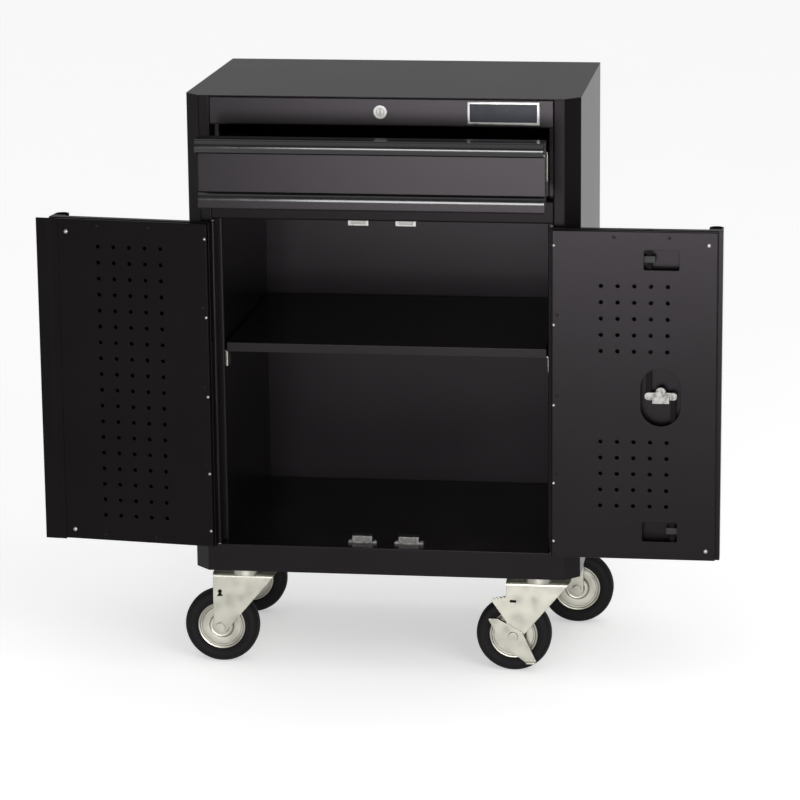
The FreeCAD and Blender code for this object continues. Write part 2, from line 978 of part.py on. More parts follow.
def fork_outline():
    """Side of the fork: upright on the trailing side, slanted on the other, round at the axle."""
    cx = -caster_trail
    cz = wheel_radius
    r = fork_end_radius
    top_x = crown_half
    distance = math.hypot(top_x - cx, crown_top - cz)
    angle = math.atan2(crown_top - cz, top_x - cx) - math.acos(r / distance)
    place = on_front(-leg_outside)
    touch = place(cx + r * math.cos(angle), cz + r * math.sin(angle))
    lowest = place(cx, cz - r)
    upright = place(cx - r, cz)
    corner_left = place(-crown_half, crown_top)
    corner_right = place(top_x, crown_top)
    edges = [
        Part.LineSegment(corner_left, corner_right).toShape(),
        Part.LineSegment(corner_right, touch).toShape(),
        Part.Arc(touch, lowest, upright).toShape(),
        Part.LineSegment(upright, corner_left).toShape(),
    ]
    return Part.Face(Part.Wire(edges))


def leg_window(braked):
    """Hole in the front leg: round with a spread foot, or a plain slot on the braked casters."""
    x = -caster_trail
    middle = wheel_radius + fork_hole_rise
    high = middle + fork_hole_height / 2
    low = middle - fork_hole_height / 2
    near = -leg_outside
    half = fork_hole_foot / 2
    if braked:
        return box(x - half, x + half, near, near + fork_leg, middle, high)
    head = rod(fork_hole_head, V(x, near, high), V(x, near + fork_leg, high))
    foot = outline([(x - half, low), (x + half, low), (x, high)], 0, on_front(near))
    return head.fuse(foot.extrude(V(0, fork_leg, 0)))


def brake_lug():
    """Toothed ear beside the front leg of a braked caster."""
    root = -crown_half + fork_leg
    top = wheel_radius + brake_lug_rise
    low = top - brake_lug_height
    points = [(root, low), (root, top)]
    step = (brake_lug_reach + fork_leg) / brake_teeth
    for i in range(brake_teeth):
        x = root - i * step
        notch = top - i * brake_tooth_fall
        points.append((x - step / 2, notch + brake_tooth))
        points.append((x - step, notch - brake_tooth_fall))
    return outline(points, 0, on_front(-leg_outside)).extrude(V(0, fork_leg, 0))


def caster_fork(braked):
    """Stamped fork: a sheet bent over the crown, trimmed to the outline of its legs, with the ball cup."""
    low = wheel_radius - fork_end_radius
    run = [
        (-leg_outside, low),
        (-leg_outside, crown_top),
        (leg_outside, crown_top),
        (leg_outside, low),
    ]
    bent = fold(run, -fork_leg, fork_bend, on_side(-crown_half), V(2 * crown_half, 0, 0))
    stamped = bent.common(fork_outline().extrude(V(0, 2 * leg_outside, 0)))
    cup = turned(
        [
            (kingpin_radius + running, crown_bottom),
            (race_radius, crown_bottom),
            (race_radius, caster_height - plate_thickness - free_gap),
            (race_radius - race_wall, caster_height - plate_thickness - free_gap),
            (race_radius - race_wall, crown_top + race_wall),
            (kingpin_radius + running, crown_top + race_wall),
        ],
        V(0, 0, 0),
        V(0, 0, 1),
    )
    pieces = [cup]
    if braked:
        pieces.append(brake_lug())
    shape = stamped.fuse(pieces)
    axle_hole = rod(
        axle_radius + running,
        V(-caster_trail, -leg_outside, wheel_radius),
        V(-caster_trail, leg_outside, wheel_radius),
    )
    pin_hole = rod(kingpin_radius + running, V(0, 0, crown_bottom), V(0, 0, crown_top))
    return shape.cut(Part.makeCompound([axle_hole, pin_hole, leg_window(braked)])).removeSplitter()


def caster_axle():
    """Axle bolt with a head at each end against the fork legs."""
    profile = [
        (0.0, -leg_outside - axle_head),
        (axle_head_radius, -leg_outside - axle_head),
        (axle_head_radius, -leg_outside),
        (axle_radius, -leg_outside),
        (axle_radius, leg_outside),
        (axle_head_radius, leg_outside),
        (axle_head_radius, leg_outside + axle_head),
        (0.0, leg_outside + axle_head),
    ]
    return turned(profile, V(-caster_trail, 0, wheel_radius), V(0, 1, 0))


def wheel_rim():
    """Pressed wheel centre with a hub that runs on the axle."""
    hub = leg_inside - free_gap
    half = rim_width / 2
    profile = [
        (axle_radius + running, -hub),
        (hub_radius, -hub),
        (hub_radius, -half),
        (rim_radius - seat_gap, -half),
        (rim_radius - seat_gap, half),
        (hub_radius, half),
        (hub_radius, hub),
        (axle_radius + running, hub),
    ]
    return turned(profile, V(-caster_trail, 0, wheel_radius), V(0, 1, 0))


def tyre():
    """Solid rubber tyre with sloping shoulders."""
    half = tyre_width / 2
    profile = [
        (rim_radius, -half),
        (wheel_radius - tyre_shoulder, -half),
        (wheel_radius, -half + tyre_shoulder),
        (wheel_radius, half - tyre_shoulder),
        (wheel_radius - tyre_shoulder, half),
        (rim_radius, half),
    ]
    return turned(profile, V(-caster_trail, 0, wheel_radius), V(0, 1, 0))


def brake_lever():
    """Rocking brake lever on the axle, with a short arm above and a pedal below."""
    near = -lever_inside - lever_thickness
    arm = [
        (-lever_hub_radius, -lever_hub_radius),
        (lever_pedal_x - lever_pedal_width, -lever_pedal_drop),
        (lever_pedal_x, -lever_pedal_drop),
        (lever_hub_radius, lever_hub_radius / 2),
        (-lever_arm + lever_hub_radius, lever_arm_rise),
        (-lever_arm, lever_arm_rise),
    ]
    plate = outline(arm, bend, on_front(near)).extrude(V(0, lever_thickness, 0))
    pedal = box(
        lever_pedal_x - lever_pedal_width + bend,
        lever_pedal_x - bend,
        near - lever_pedal_turn,
        near + lever_thickness,
        -lever_pedal_drop,
        -lever_pedal_drop + lever_thickness,
    )
    hole = rod(axle_head_radius + free_gap, V(0, near, 0), V(0, near + lever_thickness, 0))
    lever = plate.fuse(pedal).cut(hole).removeSplitter()
    return lever.translated(V(-caster_trail, 0, wheel_radius))


# Assembly

def swung(shape, hand, angle):
    """A closed door piece turned about its hinge to its open place; hand is 1 on the right."""
    turned_shape = shape.copy()
    turned_shape.rotate(V(hand * hinge_x, hinge_y, 0), V(0, 0, 1), hand * angle)
    return turned_shape


def swivelled(shape, angle, place):
    """A caster piece turned about its swivel axis and moved under its plate."""
    turned_shape = shape.copy()
    turned_shape.rotate(V(0, 0, 0), V(0, 0, 1), angle)
    return turned_shape.translated(place)


def build():
    """All nodes by name, at the rest pose: drawer part way out, both doors open."""
    out = V(0, -drawer_out, 0)
    rails, middles, runners = slide_parts()
    right_side = side_panel()
    inner_side = inner_side_wall()
    leaf = frame_leaf()
    pin = hinge_pin()
    fascia_depth = fascia_return + free_gap
    parts = {
        "left_side_panel": mirrored(right_side),
        "right_side_panel": right_side,
        "left_inner_wall": mirrored(inner_side),
        "right_inner_wall": inner_side,
        "back_panel": back_panel(),
        "top_panel": top_panel(),
        "floor_tray": floor_tray(),
        "caster_channels": caster_channels(),
        "top_fascia": top_fascia(),
        "middle_rail": middle_rail(),
        "shelf": shelf(),
        "shelf_clips": shelf_clips(),
        "slide_rails": rails,
        "hinge_frame_leaves": Part.makeCompound([leaf, mirrored(leaf)]),
        "hinge_pins": Part.makeCompound([pin, mirrored(pin)]),
        "catch_housings": catches(catch_housing),
        "catch_magnets": catches(catch_magnet),
        "drawer_lock_barrel": lock_barrel(0, fascia_lock_z, fascia_depth),
        "drawer_lock_plug": lock_plug(0, fascia_lock_z, fascia_depth + free_gap),
        "drawer_lock_cam": drawer_lock_cam(),
        "drawer_box": drawer_box().translated(out),
        "drawer_front": drawer_front().translated(out),
        "drawer_pull": drawer_pull().translated(out),
        "drawer_runners": runners.translated(out),
        "slide_middles": middles.translated(out * slide_middle_share),
    }
    left_door = {
        "left_door_skin": mirrored(door_skin()),
        "left_door_liner": left_liner(),
        "left_door_pull": mirrored(door_pull()),
        "left_door_strip": meeting_strip(),
        "left_hinge_door_leaf": mirrored(door_leaf()),
    }
    right_door = {
        "right_door_skin": right_skin(),
        "right_door_liner": right_liner(),
        "right_door_pull": door_pull(),
        "right_hinge_door_leaf": door_leaf(),
        "door_lock_barrel": lock_barrel(lock_x, door_middle, cam_front - front - free_gap),
        "door_lock_plug": lock_plug(lock_x, door_middle, cam_front - front),
        "door_lock_cam": door_lock_cam(),
        "upper_lock_rod": lock_rod(1),
        "lower_lock_rod": lock_rod(-1),
        "rod_guides": rod_guides(),
    }
    for name, shape in left_door.items():
        parts[name] = swung(shape, -1, left_open_angle)
    for name, shape in right_door.items():
        parts[name] = swung(shape, 1, right_open_angle)
    plates = []
    for row, y in (("front", -caster_y), ("rear", caster_y)):
        for side, x in (("left", -caster_x), ("right", caster_x)):
            place = V(x, y, 0)
            braked = side == "right"
            angle = rear_right_turn if braked and row == "rear" else 0.0
            plates.append(caster_plate().translated(place))
            parts[f"{row}_{side}_fork"] = swivelled(caster_fork(braked), angle, place)
            parts[f"{row}_{side}_axle"] = swivelled(caster_axle(), angle, place)
            parts[f"{row}_{side}_rim"] = swivelled(wheel_rim(), angle, place)
            parts[f"{row}_{side}_tyre"] = swivelled(tyre(), angle, place)
            if braked:
                parts[f"{row}_{side}_brake_lever"] = swivelled(brake_lever(), angle, place)
    parts["caster_plates"] = Part.makeCompound(plates)
    return parts


def main():
    """Writes each node to its own file."""
    os.makedirs("parts", exist_ok=True)
    for name, shape in build().items():
        shape.exportStep(f"parts/{name}.step")


main()
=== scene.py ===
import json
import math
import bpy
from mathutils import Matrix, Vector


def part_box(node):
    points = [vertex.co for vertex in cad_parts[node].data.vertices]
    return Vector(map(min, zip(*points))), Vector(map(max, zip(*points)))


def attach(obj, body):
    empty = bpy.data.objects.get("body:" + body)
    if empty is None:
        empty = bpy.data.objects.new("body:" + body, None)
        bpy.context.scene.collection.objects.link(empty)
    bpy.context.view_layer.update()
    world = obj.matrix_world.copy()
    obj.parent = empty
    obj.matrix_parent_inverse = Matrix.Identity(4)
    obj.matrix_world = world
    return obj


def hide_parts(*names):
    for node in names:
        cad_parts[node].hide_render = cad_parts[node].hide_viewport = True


bl_info = {
    "name": "Rolling tool cabinet",
    "version": (1, 0, 0),
    "blender": (4, 5, 0),
    "location": "View3D > Sidebar > Cabinet",
    "description": "Finishes, small fittings and studio stage of a rolling tool cabinet",
    "category": "Object",
}

import bmesh
import bpy
from bpy.props import FloatProperty, FloatVectorProperty, PointerProperty
from mathutils import Matrix, Vector

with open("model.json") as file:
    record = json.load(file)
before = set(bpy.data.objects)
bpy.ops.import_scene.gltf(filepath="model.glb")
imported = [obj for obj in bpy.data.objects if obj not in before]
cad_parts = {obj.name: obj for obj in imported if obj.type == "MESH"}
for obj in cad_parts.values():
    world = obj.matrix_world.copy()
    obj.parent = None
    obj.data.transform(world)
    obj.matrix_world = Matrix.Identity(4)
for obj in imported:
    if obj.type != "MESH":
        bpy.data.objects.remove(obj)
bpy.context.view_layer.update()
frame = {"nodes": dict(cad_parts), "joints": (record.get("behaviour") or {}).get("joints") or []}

JOINTS = {joint["name"]: joint for joint in frame["joints"]}
CORNERS = ("front_left", "front_right", "rear_left", "rear_right")
SIDES = ("left", "right")
UNDER_TURN = Matrix.Rotation(math.pi, 4, "X")
FRONT_TURN = Matrix.Rotation(math.pi / 2, 4, "X")
BACK_TURN = Matrix.Rotation(-math.pi / 2, 4, "X")

# Edges with a larger angle than this, in degrees, stay sharp
SHARP = 35.0
SHARP_ON_ROLLS = 28.0

# Points of a traced outline that lie this near, in metres, are one point
SAME_POINT = 0.00001

# Dome of a rivet: rise and level reached as shares of its height, and taper over the last step
DOME_STEPS = (
    {"rise": 0.33, "taper": 0.86, "level": 0.68},
    {"rise": 0.22, "taper": 0.68, "level": 0.9},
    {"rise": 0.10, "taper": 0.4, "level": 1.0},
)

# Sockets of the Mix node in its colour mode
MIX_A, MIX_B, MIX_RESULT = 6, 7, 2


def colour_property(name, description, default):
    """A colour with a swatch in the panel."""
    return FloatVectorProperty(
        name=name, description=description, subtype="COLOR", size=3, default=default, min=0, max=1)


def length_property(name, description, default, low, high):
    """A length in metres."""
    return FloatProperty(
        name=name, description=description, subtype="DISTANCE", unit="LENGTH",
        default=default, min=low, max=high)


def power_property(name, description, default):
    """The power of a lamp in watts."""
    return FloatProperty(
        name=name, description=description, subtype="POWER", unit="POWER",
        default=default, min=0, max=2000)


class CabinetFinish(bpy.types.PropertyGroup):
    """Colours of the finishes."""

    paint: colour_property(
        "Paint", "Black powder coat on the sheet steel", (0.0046, 0.0040, 0.0043))
    gloss: colour_property(
        "Pulls", "Gloss black of the drawer and door pulls", (0.004, 0.004, 0.0045))
    zinc: colour_property(
        "Zinc", "Passivated zinc plate on casters and slides", (0.345, 0.337, 0.294))
    nickel: colour_property(
        "Nickel", "Bright plate on locks, rivets and catches", (0.30, 0.295, 0.285))
    rubber: colour_property("Rubber", "Solid rubber of the tyres", (0.0075, 0.0068, 0.0068))
    plastic: colour_property("Plastic", "Moulded guides of the lock rods", (0.008, 0.008, 0.009))
    plate_field: colour_property(
        "Plate field", "Dark field of the fascia plate", (0.010, 0.012, 0.020))


class CabinetTrim(bpy.types.PropertyGroup):
    """Sizes of the small fittings."""

    rivet_radius: length_property(
        "Rivet radius", "Bright rivets at the liner corners", 0.0036, 0.001, 0.01)
    hinge_rivet_radius: length_property(
        "Hinge rivet radius", "Rivets along the continuous hinges", 0.0024, 0.001, 0.01)
    weld_radius: length_property(
        "Weld mark radius", "Spot-weld marks under the paint", 0.0026, 0.001, 0.01)
    bolt_radius: length_property(
        "Bolt head radius", "Hexagon heads under the caster plates", 0.0072, 0.003, 0.01)
    foot_height: length_property(
        "Foot height", "Height of the foot along the drawer face", 0.015, 0.005, 0.03)
    foot_reach: length_property(
        "Foot reach", "How far the foot steps forward of the drawer face", 0.009, 0.002, 0.02)
    plate_width: length_property("Plate width", "Bare plate on the fascia", 0.111, 0.03, 0.2)
    plate_height: length_property("Plate height", "Bare plate on the fascia", 0.036, 0.01, 0.04)
    plate_rim: length_property(
        "Plate rim", "Width of the bright rim round the fascia plate", 0.0034, 0.001, 0.01)


class CabinetStage(bpy.types.PropertyGroup):
    """Camera, lamps and floor."""

    lens: FloatProperty(
        name="Lens", description="Focal length of the camera", subtype="DISTANCE_CAMERA",
        default=144.5, min=20, max=400)
    floor: colour_property("Floor", "Pale studio floor", (0.88, 0.88, 0.88))
    key_power: power_property("Key lamp", "Large softbox above the right front", 50)
    front_power: power_property("Front lamp", "Wide low softbox in front, tilted up", 135.0)
    glow: FloatProperty(
        name="Floor glow", description="Lift of the pale floor as it is seen",
        default=0.42, min=0, max=1)
    sky: FloatProperty(
        name="Room light", description="Even light of the room", default=0.38, min=0, max=2)


def put(tree, value, socket):
    """Feeds a socket from another socket or with a plain value."""
    if isinstance(value, bpy.types.NodeSocket):
        tree.links.new(value, socket)
    else:
        socket.default_value = value


def node(tree, kind, **inputs):
    """Adds a node and feeds its inputs by name."""
    made = tree.nodes.new(kind)
    for name, value in inputs.items():
        put(tree, value, made.inputs[name.replace("_", " ")])
    return made


def new_group(name, wanted, given):
    """An empty shader node group with named number inputs and with named outputs."""
    group = bpy.data.node_groups.new(name, "ShaderNodeTree")
    for label, value in wanted.items():
        socket = group.interface.new_socket(label, in_out="INPUT", socket_type="NodeSocketFloat")
        socket.default_value = value
    for label, kind in given.items():
        group.interface.new_socket(label, in_out="OUTPUT", socket_type="NodeSocket" + kind)
    taken = group.nodes.new("NodeGroupInput").outputs
    return group, taken, group.nodes.new("NodeGroupOutput").inputs


def object_place(tree):
    """Coordinates in the object's own frame."""
    return tree.nodes.new("ShaderNodeTexCoord").outputs["Object"]


def noise(tree, where, scale, detail, roughness=0.55):
    """Noise texture on the given coordinates."""
    made = node(
        tree, "ShaderNodeTexNoise", Vector=where, Scale=scale, Detail=detail, Roughness=roughness)
    return made.outputs["Fac"]


def remap(tree, value, low, high, to_low=0.0, to_high=1.0):
    """Clamped linear change of range."""
    made = node(
        tree, "ShaderNodeMapRange", Value=value, From_Min=low, From_Max=high,
        To_Min=to_low, To_Max=to_high)
    return made.outputs["Result"]


def between(tree, share, low, high):
    """A value between two others, by a share from 0 to 1."""
    return remap(tree, share, 0.0, 1.0, low, high)


def combine(tree, operation, a, b):
    """One maths step on two values."""
    made = tree.nodes.new("ShaderNodeMath")
    made.operation = operation
    put(tree, a, made.inputs[0])
    put(tree, b, made.inputs[1])
    return made.outputs[0]


def blend_colour(tree, factor, low, high):
    """Mixes two colours by a factor; a colour may be a plain value or a socket."""
    made = tree.nodes.new("ShaderNodeMix")
    made.data_type = "RGBA"
    put(tree, factor, made.inputs["Factor"])
    for index, value in ((MIX_A, low), (MIX_B, high)):
        plain = not isinstance(value, bpy.types.NodeSocket)
        put(tree, (*value, 1.0) if plain else value, made.inputs[index])
    return made.outputs[MIX_RESULT]


def tint(colour, factor):
    """A lighter or darker version of a colour."""
    return tuple(min(1.0, channel * factor) for channel in colour)


def new_material(name):
    """A material with its tree and the inputs of its shader."""
    material = bpy.data.materials.new(name)
    material.use_nodes = True
    tree = material.node_tree
    return material, tree, tree.nodes["Principled BSDF"].inputs


def use_group(tree, group, **values):
    """Places a shared group with its own values and gives its outputs."""
    made = tree.nodes.new("ShaderNodeGroup")
    made.node_tree = group
    for name, value in values.items():
        made.inputs[name].default_value = value
    return made.outputs


def shade(tree, share, colour, dark, light):
    """A colour that wanders between a darker and a lighter tone."""
    return blend_colour(tree, share, tint(colour, dark), tint(colour, light))


def cover(tree, below, mask, most, colour):
    """Lays a colour over another where a mask says so, up to the given share."""
    return blend_colour(tree, between(tree, mask, 0.0, most), below, colour)


def relieve(tree, inputs, height, normal, strength, distance):
    """Surface relief on top of a rounded normal."""
    made = node(
        tree, "ShaderNodeBump", Strength=strength, Distance=distance, Height=height,
        Normal=normal)
    put(tree, made.outputs["Normal"], inputs["Normal"])


def make_grain_group():
    """Fine surface grain: an uneven skin with slow changes of tone."""
    group, taken, given = new_group(
        "surface_grain", {"Pitch": 500.0, "Patch": 9.0}, {"Height": "Float", "Tone": "Float"})
    where = object_place(group)
    put(group, noise(group, where, taken["Pitch"], detail=2.0, roughness=0.5), given["Height"])
    slow = noise(group, where, taken["Patch"], detail=4.0, roughness=0.6)
    put(group, remap(group, slow, low=0.3, high=0.7), given["Tone"])
    return group


def make_edge_group():
    """Rounded edges and the rub along them."""
    group, taken, given = new_group(
        "edge_rub", {"Radius": 0.0012, "Breakup": 60.0},
        {"Mask": "Float", "Rounded Normal": "Vector"})
    bevel = node(group, "ShaderNodeBevel", Radius=taken["Radius"])
    bevel.samples = 4
    flat = group.nodes.new("ShaderNodeNewGeometry")
    match = group.nodes.new("ShaderNodeVectorMath")
    match.operation = "DOT_PRODUCT"
    put(group, bevel.outputs["Normal"], match.inputs[0])
    put(group, flat.outputs["True Normal"], match.inputs[1])
    edge = remap(group, match.outputs["Value"], low=0.97, high=0.78)
    patch = noise(group, object_place(group), taken["Breakup"], detail=5.0, roughness=0.65)
    broken = remap(group, patch, low=0.42, high=0.62)
    put(group, combine(group, "MULTIPLY", edge, broken), given["Mask"])
    put(group, bevel.outputs["Normal"], given["Rounded Normal"])
    return group


def make_dust_group():
    """Light dust on surfaces that face up."""
    group, taken, given = new_group("settled_dust", {"Patch": 14.0}, {"Mask": "Float"})
    flat = group.nodes.new("ShaderNodeNewGeometry")
    facing = node(group, "ShaderNodeSeparateXYZ", Vector=flat.outputs["True Normal"])
    up = remap(group, facing.outputs["Z"], low=0.55, high=0.98)
    patch = noise(group, object_place(group), taken["Patch"], detail=6.0, roughness=0.7)
    settled = remap(group, patch, low=0.4, high=0.75)
    put(group, combine(group, "MULTIPLY", up, settled), given["Mask"])
    return group


def make_bloom_group():
    """Cloudy bloom and fine rolling lines of plated steel."""
    group, taken, given = new_group(
        "plating_bloom", {"Patch": 55.0}, {"Cloud": "Float", "Lines": "Float"})
    where = object_place(group)
    cells = node(group, "ShaderNodeTexVoronoi", Vector=where, Scale=taken["Patch"])
    cells.feature = "SMOOTH_F1"
    cloud = noise(group, where, taken["Patch"], detail=5.0, roughness=0.6)
    mixed = combine(group, "ADD", cells.outputs["Distance"], cloud)
    put(group, remap(group, mixed, low=0.55, high=1.25), given["Cloud"])
    stretch = node(group, "ShaderNodeMapping", Vector=where, Scale=(40.0, 40.0, 1400.0))
    put(group, noise(group, stretch.outputs["Vector"], scale=1.0, detail=2.0), given["Lines"])
    return group


# Paints by key: material, tone of the paint colour and level of the sheen
PAINTS = {
    "paint": ("black_paint", 1.0, 0.105),
    # Painted light: a copy of the black paint with more sheen, so the fascia and drawer front
    # render brighter
    "front_paint": ("front_paint", 1.0, 0.135),
    # Painted shade: a copy of the black paint with less sheen, so the posts, side panels, middle
    # rail and left door render darker
    "frame_paint": ("frame_paint", 1.0, 0.045),
    # Painted light: the drawer box's paint is four times lighter than the carcass paint, standing
    # in for light inside the drawer
    "lit_inner_paint": ("drawer_paint", 4.0, 0.12),
}

# Plated steel by key: material, colour and tone of it, then the range of roughness, the patches
# to the metre and the tone of the dark patches
PLATED = {
    "zinc": (
        "zinc_plate", "zinc", 1.0, dict(smooth=0.30, rough=0.46, patch=55.0, depth=0.91)),
    "slide_zinc": (
        "slide_zinc", "zinc", 0.92, dict(smooth=0.26, rough=0.4, patch=30.0, depth=0.84)),
    "nickel": (
        "bright_nickel", "nickel", 1.0, dict(smooth=0.32, rough=0.48, patch=120.0, depth=0.84)),
    "lock_steel": (
        "lock_steel", "nickel", 0.58, dict(smooth=0.2, rough=0.42, patch=170.0, depth=0.4)),
    # Painted shade: the plug faces get a darker copy of the lock plate, standing in for the shaded
    # keyway at the lock's centre
    "lock_face": (
        "lock_face", "nickel", 0.4, dict(smooth=0.2, rough=0.34, patch=150.0, depth=0.5)),
    "catch_steel": (
        "catch_steel", "nickel", 0.58, dict(smooth=0.24, rough=0.44, patch=140.0, depth=0.5)),
    "magnet": (
        "magnet_steel", "nickel", 0.36, dict(smooth=0.3, rough=0.42, patch=90.0, depth=0.84)),
}

# Rubber and plastic by key: material and colour, then the range of roughness, the grains to the
# metre, the strength of the relief and the level of the sheen
MOULDED = {
    "rubber": (
        "tyre_rubber", "rubber",
        dict(smooth=0.5, rough=0.72, pitch=700.0, relief=0.35, shine=0.09)),
    "plastic": (
        "black_plastic", "plastic",
        dict(smooth=0.4, rough=0.52, pitch=900.0, relief=0.2, shine=0.22)),
    # Painted shade: the rods take the black paint with little sheen, so they stay dark behind the
    # door's holes
    "rod_black": (
        "rod_black", "paint",
        dict(smooth=0.5, rough=0.6, pitch=620.0, relief=0.1, shine=0.05)),
}


class Finishes:
    """Materials of the cabinet, built once from the shared groups."""

    def __init__(self, colours):
        self.grain = make_grain_group()
        self.edge = make_edge_group()
        self.dust = make_dust_group()
        self.bloom = make_bloom_group()
        self.made = {}
        for key, (name, tone, shine) in PAINTS.items():
            self.made[key] = self.make_paint(name, tint(colours.paint, tone), shine)
        self.made["gloss"] = self.make_gloss(colours.gloss)
        for key, (name, base, tone, look) in PLATED.items():
            self.made[key] = self.make_plated(name, tint(getattr(colours, base), tone), **look)
        for key, (name, base, look) in MOULDED.items():
            self.made[key] = self.make_moulded(name, getattr(colours, base), **look)
        self.made["field"] = self.make_field(colours.plate_field)

    def make_paint(self, name, colour, shine):
        """Semi-gloss black powder coat with orange peel, faint edge rub and a little dust."""
        material, tree, inputs = new_material(name)
        grain = use_group(tree, self.grain, Pitch=620.0, Patch=5.0)
        edge = use_group(tree, self.edge, Radius=0.0011, Breakup=45.0)
        dust = use_group(tree, self.dust, Patch=11.0)
        toned = shade(tree, grain["Tone"], colour, dark=0.86, light=1.18)
        rubbed = cover(tree, toned, edge["Mask"], most=0.55, colour=tint(colour, 4.5))
        dusty = cover(tree, rubbed, dust["Mask"], most=0.05, colour=(0.12, 0.115, 0.11))
        put(tree, dusty, inputs["Base Color"])
        put(tree, between(tree, grain["Tone"], low=0.259, high=0.271), inputs["Roughness"])
        inputs["Specular IOR Level"].default_value = shine
        inputs["Specular Tint"].default_value = (1.0, 0.9, 0.98, 1.0)
        relieve(
            tree, inputs, grain["Height"], edge["Rounded Normal"], strength=0.07, distance=0.0005)
        return material

    def make_gloss(self, colour):
        """Gloss black skin of the pulls, smooth with faint handling marks."""
        material, tree, inputs = new_material("black_gloss")
        grain = use_group(tree, self.grain, Pitch=900.0, Patch=24.0)
        edge = use_group(tree, self.edge, Radius=0.0009, Breakup=70.0)
        toned = shade(tree, grain["Tone"], colour, dark=0.8, light=1.3)
        rubbed = cover(tree, toned, edge["Mask"], most=0.4, colour=tint(colour, 5.0))
        put(tree, rubbed, inputs["Base Color"])
        put(tree, between(tree, grain["Tone"], low=0.08, high=0.16), inputs["Roughness"])
        inputs["Specular IOR Level"].default_value = 0.5
        relieve(
            tree, inputs, grain["Height"], edge["Rounded Normal"], strength=0.04, distance=0.0004)
        return material

    def make_plated(self, name, colour, smooth, rough, patch, depth):
        """Plated steel: cloudy bloom in tone and roughness, brighter rubbed edges."""
        material, tree, inputs = new_material(name)
        bloom = use_group(tree, self.bloom, Patch=patch)
        edge = use_group(tree, self.edge, Radius=0.0009, Breakup=90.0)
        cloudy = shade(tree, bloom["Cloud"], colour, dark=depth, light=1.1)
        rubbed = cover(tree, cloudy, edge["Mask"], most=0.5, colour=tint(colour, 1.2))
        put(tree, rubbed, inputs["Base Color"])
        put(tree, between(tree, bloom["Cloud"], smooth, rough), inputs["Roughness"])
        inputs["Metallic"].default_value = 1.0
        relieve(
            tree, inputs, bloom["Lines"], edge["Rounded Normal"], strength=0.05, distance=0.0003)
        return material

    def make_moulded(self, name, colour, smooth, rough, pitch, relief, shine):
        """Moulded rubber or plastic with a fine grain, greyed on upward faces."""
        material, tree, inputs = new_material(name)
        grain = use_group(tree, self.grain, Pitch=pitch, Patch=30.0)
        edge = use_group(tree, self.edge, Radius=0.001, Breakup=80.0)
        dust = use_group(tree, self.dust, Patch=40.0)
        toned = shade(tree, grain["Tone"], colour, dark=0.8, light=1.25)
        rubbed = cover(tree, toned, edge["Mask"], most=0.5, colour=tint(colour, 3.0))
        dusty = cover(tree, rubbed, dust["Mask"], most=0.06, colour=(0.14, 0.13, 0.12))
        put(tree, dusty, inputs["Base Color"])
        put(tree, between(tree, grain["Tone"], smooth, rough), inputs["Roughness"])
        inputs["Specular IOR Level"].default_value = shine
        relieve(
            tree, inputs, grain["Height"], edge["Rounded Normal"], strength=relief, distance=0.0004)
        return material

    def make_field(self, colour):
        """Dark lacquered field of the fascia plate."""
        material, tree, inputs = new_material("plate_field")
        grain = use_group(tree, self.grain, Pitch=1200.0, Patch=60.0)
        edge = use_group(tree, self.edge, Radius=0.0005, Breakup=90.0)
        toned = shade(tree, grain["Tone"], colour, dark=0.8, light=1.3)
        put(tree, toned, inputs["Base Color"])
        put(tree, between(tree, grain["Tone"], low=0.3, high=0.4), inputs["Roughness"])
        inputs["Specular IOR Level"].default_value = 0.12
        relieve(
            tree, inputs, grain["Height"], edge["Rounded Normal"], strength=0.06, distance=0.0003)
        return material


FINISHES = []


def finish(key):
    """One of the cabinet's materials; all are made on first use."""
    if not FINISHES:
        FINISHES.append(Finishes(bpy.context.scene.cabinet_finish))
    return FINISHES[0].made[key]


def coat(key, names):
    """Gives one material to CAD nodes."""
    for name in names:
        piece = frame["nodes"][name]
        for slot in piece.material_slots:
            slot.material = finish(key)
        if not piece.material_slots:
            piece.data.materials.append(finish(key))


def choose(piece):
    """Makes a piece the only one selected, and the active one."""
    bpy.ops.object.select_all(action="DESELECT")
    piece.select_set(True)
    bpy.context.view_layer.objects.active = piece


def add_primitive(name, add, **values):
    """Adds one primitive, alone in the selection, and names it."""
    bpy.ops.object.select_all(action="DESELECT")
    add(**values)
    piece = bpy.context.object
    piece.name = name
    piece.data.name = name
    return piece


def add_cylinder(name, sides, radius, bottom, depth):
    """A cylinder about the Z axis from a level upwards, with its place in its mesh."""
    piece = add_primitive(
        name, bpy.ops.mesh.primitive_cylinder_add, vertices=sides, radius=radius,
        depth=depth, location=(0, 0, bottom + depth / 2))
    bpy.ops.object.transform_apply(location=True)
    return piece


def edit(piece):
    """Opens a piece in edit mode with nothing selected."""
    choose(piece)
    bpy.ops.object.mode_set(mode="EDIT")
    bpy.ops.mesh.select_all(action="DESELECT")


def close_edit():
    """Leaves edit mode."""
    bpy.ops.object.mode_set(mode="OBJECT")


def pick_faces(piece, test):
    """Selects the faces whose normal passes a test."""
    mesh = bmesh.from_edit_mesh(piece.data)
    bpy.ops.mesh.select_mode(type="FACE")
    for face in mesh.faces:
        face.select_set(test(face.normal))
    mesh.select_flush_mode()
    bmesh.update_edit_mesh(piece.data)


def pick_edges(piece, test):
    """Selects the edges whose two ends pass a test."""
    mesh = bmesh.from_edit_mesh(piece.data)
    bpy.ops.mesh.select_mode(type="EDGE")
    for edge in mesh.edges:
        edge.select_set(test(edge.verts[0].co) and test(edge.verts[1].co))
    mesh.select_flush_mode()
    bmesh.update_edit_mesh(piece.data)


def faces_up(normal):
    """Test for the top faces of a piece."""
    return normal.z > 0.9


def settle(piece, angle=SHARP):
    """Puts a piece's place into its mesh and smooths its rounded faces."""
    choose(piece)
    bpy.ops.object.transform_apply(location=True, rotation=True, scale=True)
    bpy.ops.object.shade_smooth_by_angle(angle=math.radians(angle))


def dress(piece, material, body):
    """Gives a finished piece its material and its body."""
    piece.data.materials.clear()
    piece.data.materials.append(material)
    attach(piece, body)


